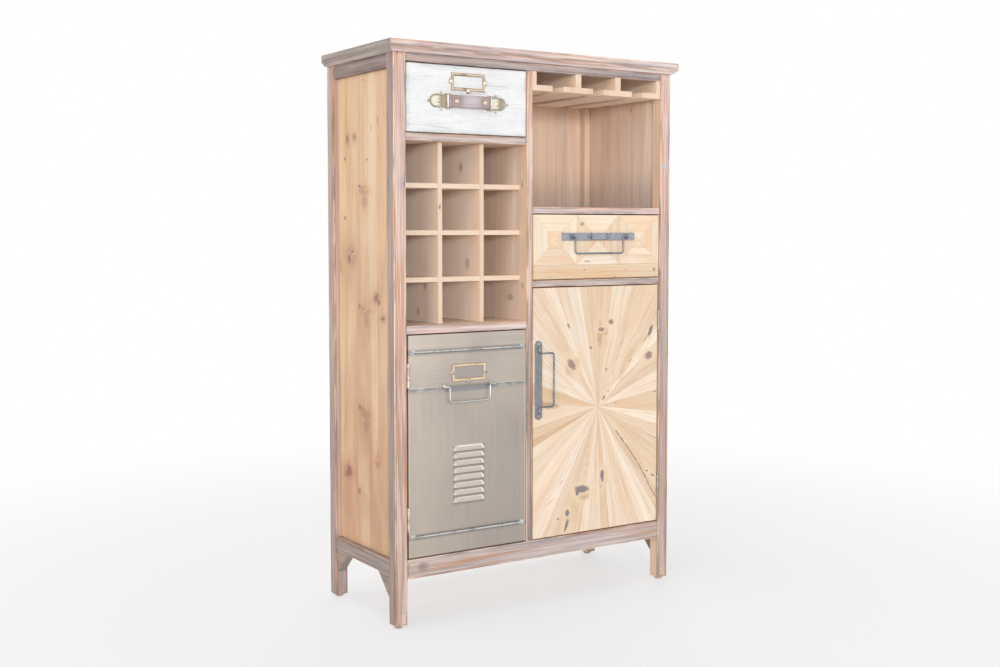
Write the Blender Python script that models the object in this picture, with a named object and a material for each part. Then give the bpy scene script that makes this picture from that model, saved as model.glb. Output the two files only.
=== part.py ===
"""Bar cabinet: a pine and stained-frame carcass with a twelve-bottle rack, a glass bay, two drawers,
a louvred metal locker door and a sunburst plank door.

Metres, +Z up, +X to the viewer's right, the front faces -Y. The origin lies on the floor, under the
middle of the cabinet.
"""

import math

import bmesh
import bpy
from mathutils import Matrix, Vector

# Overall size, over the top board
WIDTH = 0.750
DEPTH = 0.320
HEIGHT = 1.200

# Clearances
FIT = 0.0003
RUNNING = 0.0004
OVERRUN = 0.002

# Top
TOP_THICKNESS = 0.014
TOP_OVERHANG = 0.014
CORNICE_HEIGHT = 0.010
CORNICE_STEP = 0.005
TOP_ROUNDING = 0.0016

# Posts and glides
POST_SIZE = 0.028
FLUTE_RADIUS = 0.0024
FLUTE_DEPTH = 0.0015
FLUTE_STOP = 0.030
FLUTE_SHARES = (0.34, 0.68)
GLIDE_HEIGHT = 0.006
GLIDE_RADIUS = 0.010
GLIDE_SOLE_RADIUS = 0.0065

# Face frame
FRAME_RECESS = 0.0015
RAIL_DEPTH = 0.022
TOP_RAIL_HEIGHT = 0.0167
BOTTOM_RAIL_HEIGHT = 0.040
LEG_CLEARANCE = 0.1005
LEFT_BAY_WIDTH = 0.2965
PARTITION_THICKNESS = 0.0145
WOOD_ROUNDING = 0.0008

# Openings: the locker, cupboard and middle drawer stand on the floor, and the top drawer hangs below the top
LOCKER_OPENING = 0.466
RACK_FLOOR_THICKNESS = 0.017
TOP_DECK_THICKNESS = 0.0145
TOP_DRAWER_OPENING = 0.1433
CUPBOARD_OPENING = 0.555
MID_DECK_THICKNESS = 0.014
MID_DRAWER_OPENING = 0.1455
BAY_FLOOR_THICKNESS = 0.014

# Sides, back and bottom
SIDE_RAIL_RECESS = 0.002
PANEL_RECESS = 0.013
PANEL_THICKNESS = 0.009
SIDE_TOP_RAIL_HEIGHT = 0.028
SIDE_SILL_DROP = 0.003
SIDE_BOTTOM_RAIL_HEIGHT = 0.031
BRACKET_REACH = 0.052
BRACKET_DROP = 0.047
BRACKET_TOE = 0.003
BACK_THICKNESS = 0.009
BACK_INSET = 0.0045
BOTTOM_THICKNESS = 0.012

# Bottle rack
RACK_BOARD = 0.010
RACK_RECESS = 0.030
RACK_SHELF_SHARES = (0.2447, 0.5026, 0.7606)
DIVIDER_COUNT = 2

# Stemware rails
STEM_FLANGE_WIDTH = 0.080
STEM_END_FLANGE_WIDTH = 0.0527
STEM_FLANGE_THICKNESS = 0.012
STEM_WEB_THICKNESS = 0.015
STEM_END_WEB_THICKNESS = 0.0105
STEM_DROP = 0.0288
STEM_SETBACK = 0.001
STEM_MIDDLE_COUNT = 2

# Doors
DOOR_THICKNESS = 0.018
REVEAL = 0.0025
HINGE_REVEAL = 0.005
HINGE_LENGTH = 0.050
HINGE_INSET = 0.082
KNUCKLE_RADIUS = 0.0027
PIN_RADIUS = 0.0010
LEAF_THICKNESS = 0.0010
LEAF_WIDTH = 0.015
KNUCKLE_SHARES = (0.0, 0.333, 0.667, 1.0)

# Drawers
DRAWER_FRONT_THICKNESS = 0.018
DRAWER_REVEAL = 0.003
DRAWER_SIDE_SET_IN = 0.003
DRAWER_HEADROOM = 0.024
DRAWER_WALL = 0.010
DRAWER_FLOOR = 0.006
DRAWER_BACK_CLEARANCE = 0.016

# Wire bails and their ears
WIRE_RADIUS = 0.0019
WIRE_BEND = 0.0065
STUB_BEND = 0.004
PIVOT_STANDOFF = 0.0065
STUB_LENGTH = 0.014
EAR_GAP = 0.0045
EAR_LENGTH = 0.007
EAR_SIZE = 0.0080
BORE_CLEARANCE = 0.0004

# Handle plates
PLATE_THICKNESS = 0.003
DRAWER_PLATE_LENGTH = 0.202
DRAWER_PLATE_HEIGHT = 0.017
DRAWER_PLATE_LIFT = 0.022
DRAWER_BAIL_SPAN = 0.134
DRAWER_BAIL_DROP = 0.037
BOSS_LENGTH = 0.040
BOSS_HEIGHT = 0.0145
BOSS_RISE = 0.0018
RIVET_RADIUS = 0.0028
RIVET_RISE = 0.0016
RIVET_BESIDE_BOSS = 0.005
SCREW_INSET = 0.007
DOOR_PLATE_LENGTH = 0.173
DOOR_PLATE_WIDTH = 0.0185
DOOR_PLATE_INSET = 0.0035
DOOR_PLATE_LIFT = 0.074
DOOR_BAIL_SPAN = 0.118
DOOR_BAIL_REACH = 0.038

# Locker door skin
SKIN_STEP = 0.0012
LAP_DROP = 0.1105
LOCKER_ROD_RADIUS = 0.0022
LOCKER_ROD_STANDOFF = 0.0030
LOCKER_ROD_INSET = 0.0135
LOCKER_TOP_ROD_DROP = 0.035
LOCKER_BOTTOM_ROD_HEIGHT = 0.043
CLAMP_LENGTH = 0.009
CLAMP_HEIGHT = 0.010
CLAMP_RISE = 0.0058
LOUVRE_COUNT = 8
LOUVRE_WIDTH = 0.077
LOUVRE_PITCH = 0.0156
LOUVRE_HEIGHT = 0.0105
LOUVRE_RISE = 0.0042
LOUVRE_TAPER = 0.007
LOUVRE_TOP = 0.2245
LOCKER_BAIL_SPAN = 0.099
LOCKER_BAIL_DROP = 0.033

# Label holders
LABEL_WIDTH = 0.082
LABEL_HEIGHT = 0.036
LABEL_WINDOW_WIDTH = 0.069
LABEL_WINDOW_HEIGHT = 0.025
LABEL_THICKNESS = 0.0016
LABEL_EAR_RADIUS = 0.0058
LABEL_PIN_RADIUS = 0.0042
LABEL_PIN_RISE = 0.0024
DRAWER_LABEL_LIFT = 0.037
LOCKER_LABEL_ABOVE_LAP = 0.0042

# Leather strap handle
STRAP_SPAN = 0.0928
STRAP_HEIGHT = 0.025
STRAP_THICKNESS = 0.0022
STRAP_BAR_STANDOFF = 0.008
STRAP_BAR_RADIUS = 0.0013
STRAP_EYE_CLEARANCE = 0.00035
STRAP_BOW = 0.0020
STRAP_BELOW_CENTRE = 0.0042
STRAP_ARM_WIDTH = 0.0018
STRAP_PLATE_HEIGHT = 0.027
STRAP_PLATE_LENGTH = 0.0375
STRAP_PLATE_THICKNESS = 0.0025
STRAP_PLATE_GAP = 0.0004
STRAP_LIP_RADIUS = 0.0018
STRAP_SCREW_RADIUS = 0.0046
STRAP_SCREW_RISE = 0.0022
STRAP_SCREW_PLACE = 0.017
FINIAL_RADIUS = 0.0026
FINIAL_NECK_RADIUS = 0.0012
FINIAL_STANDOFF = 0.0036
FINIAL_PLACE = 0.0115

# Magnetic catches
CATCH_LENGTH = 0.040
CATCH_HEIGHT = 0.011
CATCH_DEPTH = 0.014
CATCH_INSET = 0.008

# Facets
ROUND_SIDES = 16
SMALL_SIDES = 12
WIRE_STEPS = 5
DOME_RINGS = 3
BOW_STEPS = 12

# Places worked out from the sizes above
body_x = WIDTH / 2 - TOP_OVERHANG
front_y = -DEPTH / 2 + TOP_OVERHANG
back_y = DEPTH / 2
frame_y = front_y + FRAME_RECESS
rail_back_y = frame_y + RAIL_DEPTH
post_in_x = body_x - POST_SIZE
front_post_y = front_y + POST_SIZE
rear_post_y = back_y - POST_SIZE
wall_x = body_x - PANEL_RECESS - PANEL_THICKNESS
back_panel_y = back_y - BACK_INSET - BACK_THICKNESS
partition_left = -post_in_x + LEFT_BAY_WIDTH
partition_right = partition_left + PARTITION_THICKNESS

frame_top = HEIGHT - TOP_THICKNESS - CORNICE_HEIGHT
rail_bottom = frame_top - TOP_RAIL_HEIGHT
floor_z = LEG_CLEARANCE + BOTTOM_RAIL_HEIGHT
locker_top = floor_z + LOCKER_OPENING
rack_floor = locker_top + RACK_FLOOR_THICKNESS
top_deck = rail_bottom - TOP_DRAWER_OPENING
rack_top = top_deck - TOP_DECK_THICKNESS
cupboard_top = floor_z + CUPBOARD_OPENING
mid_deck = cupboard_top + MID_DECK_THICKNESS
mid_drawer_top = mid_deck + MID_DRAWER_OPENING
sill_top = floor_z - SIDE_SILL_DROP
side_rail_bottom = sill_top - SIDE_BOTTOM_RAIL_HEIGHT
side_top_rail_bottom = frame_top - SIDE_TOP_RAIL_HEIGHT

door_back_y = frame_y + DOOR_THICKNESS
hinge_x = post_in_x - FIT - KNUCKLE_RADIUS
hinge_y = frame_y - RUNNING - KNUCKLE_RADIUS
locker_x = (-post_in_x + HINGE_REVEAL, partition_left - REVEAL)
locker_z = (floor_z + REVEAL, locker_top - REVEAL)
cupboard_x = (partition_right + REVEAL, post_in_x - HINGE_REVEAL)
cupboard_z = (floor_z + REVEAL, cupboard_top - REVEAL)
locker_mid_x = (locker_x[0] + locker_x[1]) / 2
top_drawer_x = (-post_in_x + DRAWER_REVEAL, partition_left - DRAWER_REVEAL)
top_drawer_z = (top_deck + REVEAL, rail_bottom - REVEAL)
mid_drawer_x = (partition_right + REVEAL, post_in_x - REVEAL)
mid_drawer_z = (mid_deck + REVEAL, mid_drawer_top - REVEAL)

AXIS_NAMES = "XYZ"


def clear_scene():
    for old in list(bpy.data.objects):
        bpy.data.objects.remove(old, do_unlink=True)


def make_material(name, colour, roughness, metallic):
    made = bpy.data.materials.new(name)
    made.use_nodes = True
    shader = made.node_tree.nodes["Principled BSDF"]
    shader.inputs["Base Color"].default_value = (*colour, 1.0)
    shader.inputs["Roughness"].default_value = roughness
    shader.inputs["Metallic"].default_value = metallic
    made.diffuse_color = (*colour, 1.0)
    return made


clear_scene()
STAINED = make_material("stained_frame", (0.42, 0.31, 0.26), 0.55, 0.0)
PINE = make_material("natural_pine", (0.72, 0.50, 0.32), 0.50, 0.0)
PALE_PINE = make_material("pale_pine", (0.88, 0.68, 0.46), 0.50, 0.0)
WHITE_PAINT = make_material("worn_white_paint", (0.82, 0.83, 0.83), 0.60, 0.0)
SHEET = make_material("brushed_sheet", (0.45, 0.40, 0.34), 0.42, 0.85)
STEEL = make_material("silver_steel", (0.60, 0.60, 0.60), 0.35, 1.0)
IRON = make_material("grey_iron", (0.30, 0.33, 0.37), 0.50, 0.6)
BRASS = make_material("aged_brass", (0.60, 0.48, 0.28), 0.40, 1.0)
LEATHER = make_material("brown_leather", (0.28, 0.16, 0.12), 0.60, 0.0)
BLACK_PLASTIC = make_material("black_plastic", (0.05, 0.05, 0.05), 0.50, 0.0)


def add_object(name, bm, made_of):
    bmesh.ops.recalc_face_normals(bm, faces=bm.faces)
    mesh = bpy.data.meshes.new(name)
    bm.to_mesh(mesh)
    bm.free()
    mesh.materials.append(made_of)
    obj = bpy.data.objects.new(name, mesh)
    bpy.context.scene.collection.objects.link(obj)
    return obj


def box(name, x, y, z, made_of):
    bm = bmesh.new()
    bmesh.ops.create_cube(bm, size=1.0)
    for vert in bm.verts:
        for axis, (low, high) in enumerate((x, y, z)):
            vert.co[axis] = high if vert.co[axis] > 0 else low
    return add_object(name, bm, made_of)


def prism(name, outline, axis, span, made_of):
    """The outline's points lie in the plane of the other two axes, in X, Y, Z order."""
    others = [index for index in range(3) if index != AXIS_NAMES.index(axis)]
    bm = bmesh.new()
    ends = []
    for level in span:
        ring = []
        for point in outline:
            place = [0.0, 0.0, 0.0]
            place[others[0]], place[others[1]] = point
            place[AXIS_NAMES.index(axis)] = level
            ring.append(bm.verts.new(place))
        ends.append(ring)
    bm.faces.new(ends[0])
    bm.faces.new(ends[1])
    for index in range(len(outline)):
        after = (index + 1) % len(outline)
        bm.faces.new((ends[0][index], ends[0][after], ends[1][after], ends[1][index]))
    return add_object(name, bm, made_of)


def circle(centre, radius, sides=ROUND_SIDES, start=0.0, turn=2 * math.pi):
    full = abs(turn - 2 * math.pi) < 1e-9
    steps = sides if full else sides + 1
    angles = [start + turn * step / sides for step in range(steps)]
    return [(centre[0] + radius * math.cos(a), centre[1] + radius * math.sin(a)) for a in angles]


def rod(name, centre, radius, axis, span, made_of, sides=ROUND_SIDES):
    return prism(name, circle(centre, radius, sides), axis, span, made_of)


def turned(name, profile, place, direction, made_of, sides=ROUND_SIDES):
    """A solid of revolution: profile holds (radius, height) pairs from its foot up, along direction."""
    bm = bmesh.new()
    rings = []
    for radius, height in profile:
        if radius <= 0:
            rings.append([bm.verts.new((0, 0, height))])
            continue
        rings.append([bm.verts.new((x, y, height)) for x, y in circle((0, 0), radius, sides)])
    for low, high in zip(rings, rings[1:]):
        for index in range(sides):
            after = (index + 1) % sides
            corners = [low[index % len(low)], low[after % len(low)]]
            corners += [high[after % len(high)], high[index % len(high)]]
            bm.faces.new(list(dict.fromkeys(corners)))
    for ring in (rings[0], rings[-1]):
        if len(ring) > 1:
            bm.faces.new(ring)
    turn = Vector((0, 0, 1)).rotation_difference(Vector(direction)).to_matrix().to_4x4()
    bm.transform(Matrix.Translation(place) @ turn)
    return add_object(name, bm, made_of)


def dome_profile(radius, rise, root):
    """A flat dome that starts root below the surface that it stands on."""
    points = [(radius, -root)]
    for step in range(DOME_RINGS + 1):
        angle = math.pi / 2 * step / DOME_RINGS
        points.append((radius * math.cos(angle), rise * math.sin(angle)))
    points[-1] = (0.0, rise)
    return points


def ball_profile(radius):
    steps = 2 * DOME_RINGS
    angles = [math.pi * step / steps for step in range(steps + 1)]
    points = [(radius * math.sin(a), -radius * math.cos(a)) for a in angles]
    points[0] = (0.0, -radius)
    points[-1] = (0.0, radius)
    return points


def ball(name, place, radius, made_of):
    return turned(name, ball_profile(radius), place, (0, 0, 1), made_of, SMALL_SIDES)


def combine(base, others, operation):
    for other in others:
        step = base.modifiers.new(operation.title(), "BOOLEAN")
        step.operation = operation
        step.solver = "EXACT"
        step.object = other
        bpy.context.view_layer.update()
        graph = bpy.context.evaluated_depsgraph_get()
        made = bpy.data.meshes.new_from_object(base.evaluated_get(graph))
        base.modifiers.clear()
        spent = base.data
        base.data = made
        bpy.data.meshes.remove(spent)
        bpy.data.objects.remove(other, do_unlink=True)
    return base


def unite(base, *others):
    return combine(base, others, "UNION")


def cut(base, *others):
    return combine(base, others, "DIFFERENCE")


def soften(obj, width=WOOD_ROUNDING):
    """Breaks the outer edges and leaves the inner corners square, so that they still fit a neighbour."""
    bm = bmesh.new()
    bm.from_mesh(obj.data)
    sharp = math.radians(50)
    edges = [edge for edge in bm.edges if edge.is_convex and edge.calc_face_angle(0.0) > sharp]
    bmesh.ops.bevel(bm, geom=edges, offset=width, segments=1, affect="EDGES", clamp_overlap=True)
    bm.to_mesh(obj.data)
    bm.free()
    return obj


def smooth(obj):
    obj.data.shade_smooth()
    obj.data.set_sharp_from_angle(angle=math.radians(35))
    return obj


def empty_at(name, place):
    pivot = bpy.data.objects.new(name, None)
    pivot.location = place
    bpy.context.scene.collection.objects.link(pivot)
    return pivot


def hang_on(pivot, *pieces):
    """Puts each piece's origin on the joint's axis and parents it there."""
    bpy.context.view_layer.update()
    place = pivot.matrix_world.translation.copy()
    for piece in pieces:
        if piece.type == "MESH":
            piece.data.transform(Matrix.Translation(-place))
        else:
            for spline in piece.data.splines:
                for point in spline.points:
                    point.co = (*(Vector(point.co[:3]) - place), 1.0)
        piece.parent = pivot
    return pivot


def rounded_path(corners, radii):
    """The corner list with each inner corner turned into an arc of its own radius."""
    path = [Vector(corners[0])]
    for before, corner, after, radius in zip(corners, corners[1:], corners[2:], radii):
        corner = Vector(corner)
        back = (Vector(before) - corner).normalized()
        ahead = (Vector(after) - corner).normalized()
        half = back.angle(ahead) / 2
        reach = radius / math.tan(half)
        middle = corner + (back + ahead).normalized() * radius / math.sin(half)
        start = corner + back * reach
        end = corner + ahead * reach
        for step in range(WIRE_STEPS + 1):
            share = step / WIRE_STEPS
            arm = (start - middle).slerp(end - middle, share)
            path.append(middle + arm.normalized() * radius)
    path.append(Vector(corners[-1]))
    return path


def wire(name, corners, radii, made_of):
    curve = bpy.data.curves.new(name, "CURVE")
    curve.dimensions = "3D"
    curve.bevel_depth = WIRE_RADIUS
    curve.bevel_resolution = 2
    curve.use_fill_caps = True
    path = rounded_path(corners, radii)
    spline = curve.splines.new("POLY")
    spline.points.add(len(path) - 1)
    for point, place in zip(spline.points, path):
        point.co = (*place, 1.0)
    curve.materials.append(made_of)
    obj = bpy.data.objects.new(name, curve)
    bpy.context.scene.collection.objects.link(obj)
    return obj


def make_top():
    z = (frame_top + CORNICE_HEIGHT, HEIGHT)
    top = box("top_board", (-WIDTH / 2, WIDTH / 2), (-DEPTH / 2, back_y), z, STAINED)
    soften(top, TOP_ROUNDING)
    low_x = body_x + CORNICE_STEP
    low_y = front_y - CORNICE_STEP
    cornice_z = (frame_top, frame_top + CORNICE_HEIGHT - FIT)
    cornice = box("cornice_board", (-low_x, low_x), (low_y, back_y), cornice_z, STAINED)
    for vert in cornice.data.vertices:
        if vert.co.z > sum(cornice_z) / 2:
            vert.co.x = math.copysign(WIDTH / 2, vert.co.x)
            vert.co.y = -DEPTH / 2 if vert.co.y < 0 else back_y


def make_post(name, side, y, fluted):
    x = sorted((side * post_in_x, side * body_x))
    post = soften(box(name, x, y, (GLIDE_HEIGHT, frame_top - FIT), STAINED))
    if fluted:
        grooves = []
        for share in FLUTE_SHARES:
            centre = (x[0] + POST_SIZE * share, y[0] - FLUTE_RADIUS + FLUTE_DEPTH)
            span = (FLUTE_STOP, rail_bottom)
            grooves.append(rod("flute", centre, FLUTE_RADIUS, "Z", span, STAINED))
        cut(post, *grooves)
    return post


def make_glide(name, x, y):
    shoulder = GLIDE_HEIGHT / 2
    profile = [(GLIDE_SOLE_RADIUS, 0.0), (GLIDE_RADIUS, shoulder), (GLIDE_RADIUS, GLIDE_HEIGHT - FIT)]
    smooth(turned(name, profile, (x, y, 0.0), (0, 0, 1), STAINED))


def make_posts_and_glides():
    rows = (("front", (front_y, front_post_y), True), ("rear", (rear_post_y, back_y), False))
    for side, side_name in ((-1, "left"), (1, "right")):
        for row_name, y, fluted in rows:
            make_post(f"{row_name}_post_{side_name}", side, y, fluted)
            middle_x = side * (post_in_x + POST_SIZE / 2)
            make_glide(f"glide_{row_name}_{side_name}", middle_x, (y[0] + y[1]) / 2)


def make_sides():
    y = (front_post_y + FIT, rear_post_y - FIT)
    for side, side_name in ((-1, "left"), (1, "right")):
        panel_x = sorted((side * wall_x, side * (wall_x + PANEL_THICKNESS)))
        panel_z = (sill_top + FIT, side_top_rail_bottom - FIT)
        box(f"side_panel_{side_name}", panel_x, y, panel_z, PINE)
        rail_x = sorted((side * wall_x, side * (body_x - SIDE_RAIL_RECESS)))
        top_z = (side_top_rail_bottom, frame_top - FIT)
        soften(box(f"side_top_rail_{side_name}", rail_x, y, top_z, STAINED))
        bracket_foot = side_rail_bottom - BRACKET_DROP
        outline = [
            (y[0], sill_top),
            (y[0], bracket_foot),
            (y[0] + BRACKET_TOE, bracket_foot),
            (y[0] + BRACKET_REACH, side_rail_bottom),
            (y[1] - BRACKET_REACH, side_rail_bottom),
            (y[1] - BRACKET_TOE, bracket_foot),
            (y[1], bracket_foot),
            (y[1], sill_top),
        ]
        rail = prism(f"side_bottom_rail_{side_name}", outline, "X", rail_x, STAINED)
        soften(rail)


def make_back_and_bottom():
    inner_x = post_in_x - FIT
    back_span = (back_panel_y, back_panel_y + BACK_THICKNESS)
    box("back_panel", (-inner_x, inner_x), back_span, (LEG_CLEARANCE, frame_top - FIT), PINE)
    outer_x = wall_x - FIT
    y = (rail_back_y + FIT, front_post_y + FIT, rear_post_y - FIT, back_panel_y - FIT)
    half = [(inner_x, y[0]), (inner_x, y[1]), (outer_x, y[1])]
    half += [(outer_x, y[2]), (inner_x, y[2]), (inner_x, y[3])]
    outline = half + [(-x, level) for x, level in reversed(half)]
    prism("bottom_board", outline, "Z", (floor_z - BOTTOM_THICKNESS, floor_z), PINE)


def make_face_frame():
    inner_x = post_in_x - FIT
    rail_y = (frame_y, rail_back_y)
    top_z = (rail_bottom, frame_top - FIT)
    soften(box("top_rail", (-inner_x, inner_x), rail_y, top_z, STAINED))
    soften(box("bottom_rail", (-inner_x, inner_x), rail_y, (LEG_CLEARANCE, floor_z), STAINED))
    outline = [
        (frame_y, floor_z + FIT),
        (back_panel_y - FIT, floor_z + FIT),
        (back_panel_y - FIT, frame_top - FIT),
        (rail_back_y + FIT, frame_top - FIT),
        (rail_back_y + FIT, rail_bottom - FIT),
        (frame_y, rail_bottom - FIT),
    ]
    partition = prism("centre_partition", outline, "X", (partition_left, partition_right), STAINED)
    soften(partition)


def bay_outline(bay, start_y, slots=()):
    """A board's outline in one bay: it fits between the posts and widens to the side panel.

    slots are (low x, high x, end y), cut in from the front edge, from the partition outwards.
    """
    side = -1 if bay == "left" else 1
    inner = (partition_left - FIT) if bay == "left" else (partition_right + FIT)
    post = side * (post_in_x - FIT)
    wall = side * (wall_x - FIT)
    end_y = back_panel_y - FIT
    outline = [(inner, end_y), (inner, start_y)]
    for near, far, depth in slots:
        outline += [(near, start_y), (near, depth), (far, depth), (far, start_y)]
    if start_y < front_post_y:
        outline += [(post, start_y), (post, front_post_y + FIT), (wall, front_post_y + FIT)]
    else:
        outline += [(wall, start_y)]
    outline += [(wall, rear_post_y - FIT), (post, rear_post_y - FIT), (post, end_y)]
    return outline


def make_decks():
    decks = (
        ("rack_floor", "left", locker_top, RACK_FLOOR_THICKNESS),
        ("top_drawer_deck", "left", rack_top, TOP_DECK_THICKNESS),
        ("mid_drawer_deck", "right", cupboard_top, MID_DECK_THICKNESS),
        ("glass_bay_floor", "right", mid_drawer_top, BAY_FLOOR_THICKNESS),
    )
    for name, bay, under, thickness in decks:
        deck = prism(name, bay_outline(bay, frame_y), "Z", (under, under + thickness), STAINED)
        soften(deck)


def make_bottle_rack():
    start_y = front_y + RACK_RECESS
    end_y = back_panel_y - FIT
    halving_y = (start_y + end_y) / 2
    cell = (LEFT_BAY_WIDTH - DIVIDER_COUNT * RACK_BOARD) / (DIVIDER_COUNT + 1)
    dividers = []
    for index in range(DIVIDER_COUNT):
        low = -post_in_x + cell * (index + 1) + RACK_BOARD * index
        dividers.append((low, low + RACK_BOARD))
    levels = [rack_floor + (rack_top - rack_floor) * share for share in RACK_SHELF_SHARES]
    for index, span in enumerate(dividers):
        outline = [(end_y, rack_floor + FIT), (start_y, rack_floor + FIT)]
        outline += [(start_y, rack_top - FIT), (end_y, rack_top - FIT)]
        for level in reversed(levels):
            high = level + RACK_BOARD / 2 + FIT
            low = level - RACK_BOARD / 2 - FIT
            outline += [(end_y, high), (halving_y, high), (halving_y, low), (end_y, low)]
        prism(f"rack_divider_{index + 1}", outline, "X", span, PALE_PINE)
    slots = [(high + FIT, low - FIT, halving_y + FIT) for low, high in reversed(dividers)]
    for index, level in enumerate(levels):
        span = (level - RACK_BOARD / 2, level + RACK_BOARD / 2)
        prism(f"rack_shelf_{index + 1}", bay_outline("left", start_y, slots), "Z", span, PALE_PINE)


def make_stem_rail(name, flange_x, web_x):
    y = (frame_y + STEM_SETBACK, back_panel_y - FIT)
    flange_top = rail_bottom - STEM_DROP
    flange_z = (flange_top - STEM_FLANGE_THICKNESS, flange_top)
    flange = box(name, flange_x, y, flange_z, PALE_PINE)
    outline = [
        (y[0], flange_z[0]),
        (y[1], flange_z[0]),
        (y[1], frame_top - FIT),
        (rail_back_y + FIT, frame_top - FIT),
        (rail_back_y + FIT, rail_bottom - FIT),
        (y[0], rail_bottom - FIT),
    ]
    unite(flange, prism("web", outline, "X", web_x, PALE_PINE))


def make_stemware_rails():
    left = partition_right + FIT
    right = post_in_x - FIT
    middle_web = STEM_WEB_THICKNESS / 2
    end_web = STEM_END_WEB_THICKNESS
    make_stem_rail("stem_rail_left", (left, left + STEM_END_FLANGE_WIDTH), (left, left + end_web))
    free = right - left - 2 * STEM_END_FLANGE_WIDTH - STEM_MIDDLE_COUNT * STEM_FLANGE_WIDTH
    slot = free / (STEM_MIDDLE_COUNT + 1)
    for index in range(STEM_MIDDLE_COUNT):
        low = left + STEM_END_FLANGE_WIDTH + slot + index * (STEM_FLANGE_WIDTH + slot)
        middle = low + STEM_FLANGE_WIDTH / 2
        web = (middle - middle_web, middle + middle_web)
        make_stem_rail(f"stem_rail_middle_{index + 1}", (low, low + STEM_FLANGE_WIDTH), web)
    flange = (right - STEM_END_FLANGE_WIDTH, right)
    make_stem_rail("stem_rail_right", flange, (right - end_web, right))


def make_hinge(door, number, side, middle_z):
    """A butt hinge: the frame's leaf holds the pin and the outer knuckles, the door's the middle one."""
    axis = (side * hinge_x, hinge_y)
    base = middle_z - HINGE_LENGTH / 2
    levels = [base + HINGE_LENGTH * share for share in KNUCKLE_SHARES]
    plate_y = (frame_y + FIT, frame_y + FIT + LEAF_WIDTH)
    post_face = side * (post_in_x - FIT)
    door_face = side * (post_in_x - HINGE_REVEAL + FIT)
    frame_x = sorted((post_face, post_face - side * LEAF_THICKNESS))
    door_x = sorted((door_face, door_face + side * LEAF_THICKNESS))
    whole = (levels[0], levels[3])
    outer = ((levels[0], levels[1] - FIT), (levels[2] + FIT, levels[3]))
    middle = (levels[1] + FIT, levels[2] - FIT)

    leaf = box(f"{door}_hinge_{number}_frame_leaf", frame_x, plate_y, whole, STEEL)
    for span in outer:
        tab = box("tab", frame_x, (hinge_y, plate_y[0] + FIT), span, STEEL)
        unite(leaf, tab, rod("knuckle", axis, KNUCKLE_RADIUS, "Z", span, STEEL))
    unite(leaf, rod("pin", axis, PIN_RADIUS, "Z", (levels[0] + FIT, levels[3] - FIT), STEEL))

    door_leaf = box(f"{door}_hinge_{number}_door_leaf", door_x, plate_y, whole, STEEL)
    tab = box("tab", door_x, (hinge_y, plate_y[0] + FIT), middle, STEEL)
    unite(door_leaf, tab, rod("knuckle", axis, KNUCKLE_RADIUS, "Z", middle, STEEL))
    bore_span = (middle[0] - OVERRUN, middle[1] + OVERRUN)
    cut(door_leaf, rod("bore", axis, PIN_RADIUS + BORE_CLEARANCE, "Z", bore_span, STEEL))
    return door_leaf


def ear(name, place, axis, made_of):
    """A block on a plate or sheet that a bail's stub turns in. place is the middle of the stub there."""
    half = EAR_SIZE / 2
    spans = [
        (place[0] - half, place[0] + half),
        (place[1] - half, place[1] + PIVOT_STANDOFF),
        (place[2] - half, place[2] + half),
    ]
    along = AXIS_NAMES.index(axis)
    spans[along] = (place[along] - EAR_LENGTH / 2, place[along] + EAR_LENGTH / 2)
    return box(name, *spans, made_of)


def bail_frame(centre, axis, span):
    """The two ear places of a bail whose stubs lie along axis."""
    reach = span / 2 + EAR_GAP + EAR_LENGTH / 2
    places = []
    for end in (-1, 1):
        place = list(centre)
        place[AXIS_NAMES.index(axis)] += end * reach
        places.append(place)
    return places


def add_ears(carrier, centre, axis, span, made_of):
    """Ears on the carrier, each trimmed to the carrier's face and bored for the stub."""
    for place in bail_frame(centre, axis, span):
        unite(carrier, ear("ear", place, axis, made_of))
        others = [place[index] for index in range(3) if index != AXIS_NAMES.index(axis)]
        along = place[AXIS_NAMES.index(axis)]
        bore_span = (along - EAR_LENGTH / 2 - OVERRUN, along + EAR_LENGTH / 2 + OVERRUN)
        bore = rod("bore", others, WIRE_RADIUS + BORE_CLEARANCE, axis, bore_span, made_of)
        cut(carrier, bore)


def trim_behind(centre, span):
    """A slab behind a handle plate, which trims its ears to the plate's back."""
    reach = span + EAR_SIZE
    x, z = [(centre[index] - reach, centre[index] + reach) for index in (0, 2)]
    return box("trim", x, (frame_y - FIT, frame_y + reach), z, IRON)


def make_bail(name, centre, axis, span, reach, direction, made_of):
    half = span / 2
    stub = half + STUB_LENGTH
    along = Vector([1.0 if index == AXIS_NAMES.index(axis) else 0.0 for index in range(3)])
    out = Vector(direction) * reach
    middle = Vector(centre)
    corners = [middle - along * stub, middle - along * half, middle - along * half + out]
    corners += [middle + along * half + out, middle + along * half, middle + along * stub]
    return wire(name, corners, (STUB_BEND, WIRE_BEND, WIRE_BEND, STUB_BEND), made_of)


def dome(name, x, z, surface_y, radius, rise, made_of):
    place = (x, surface_y, z)
    return turned(name, dome_profile(radius, rise, FIT), place, (0, -1, 0), made_of, SMALL_SIDES)


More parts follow.
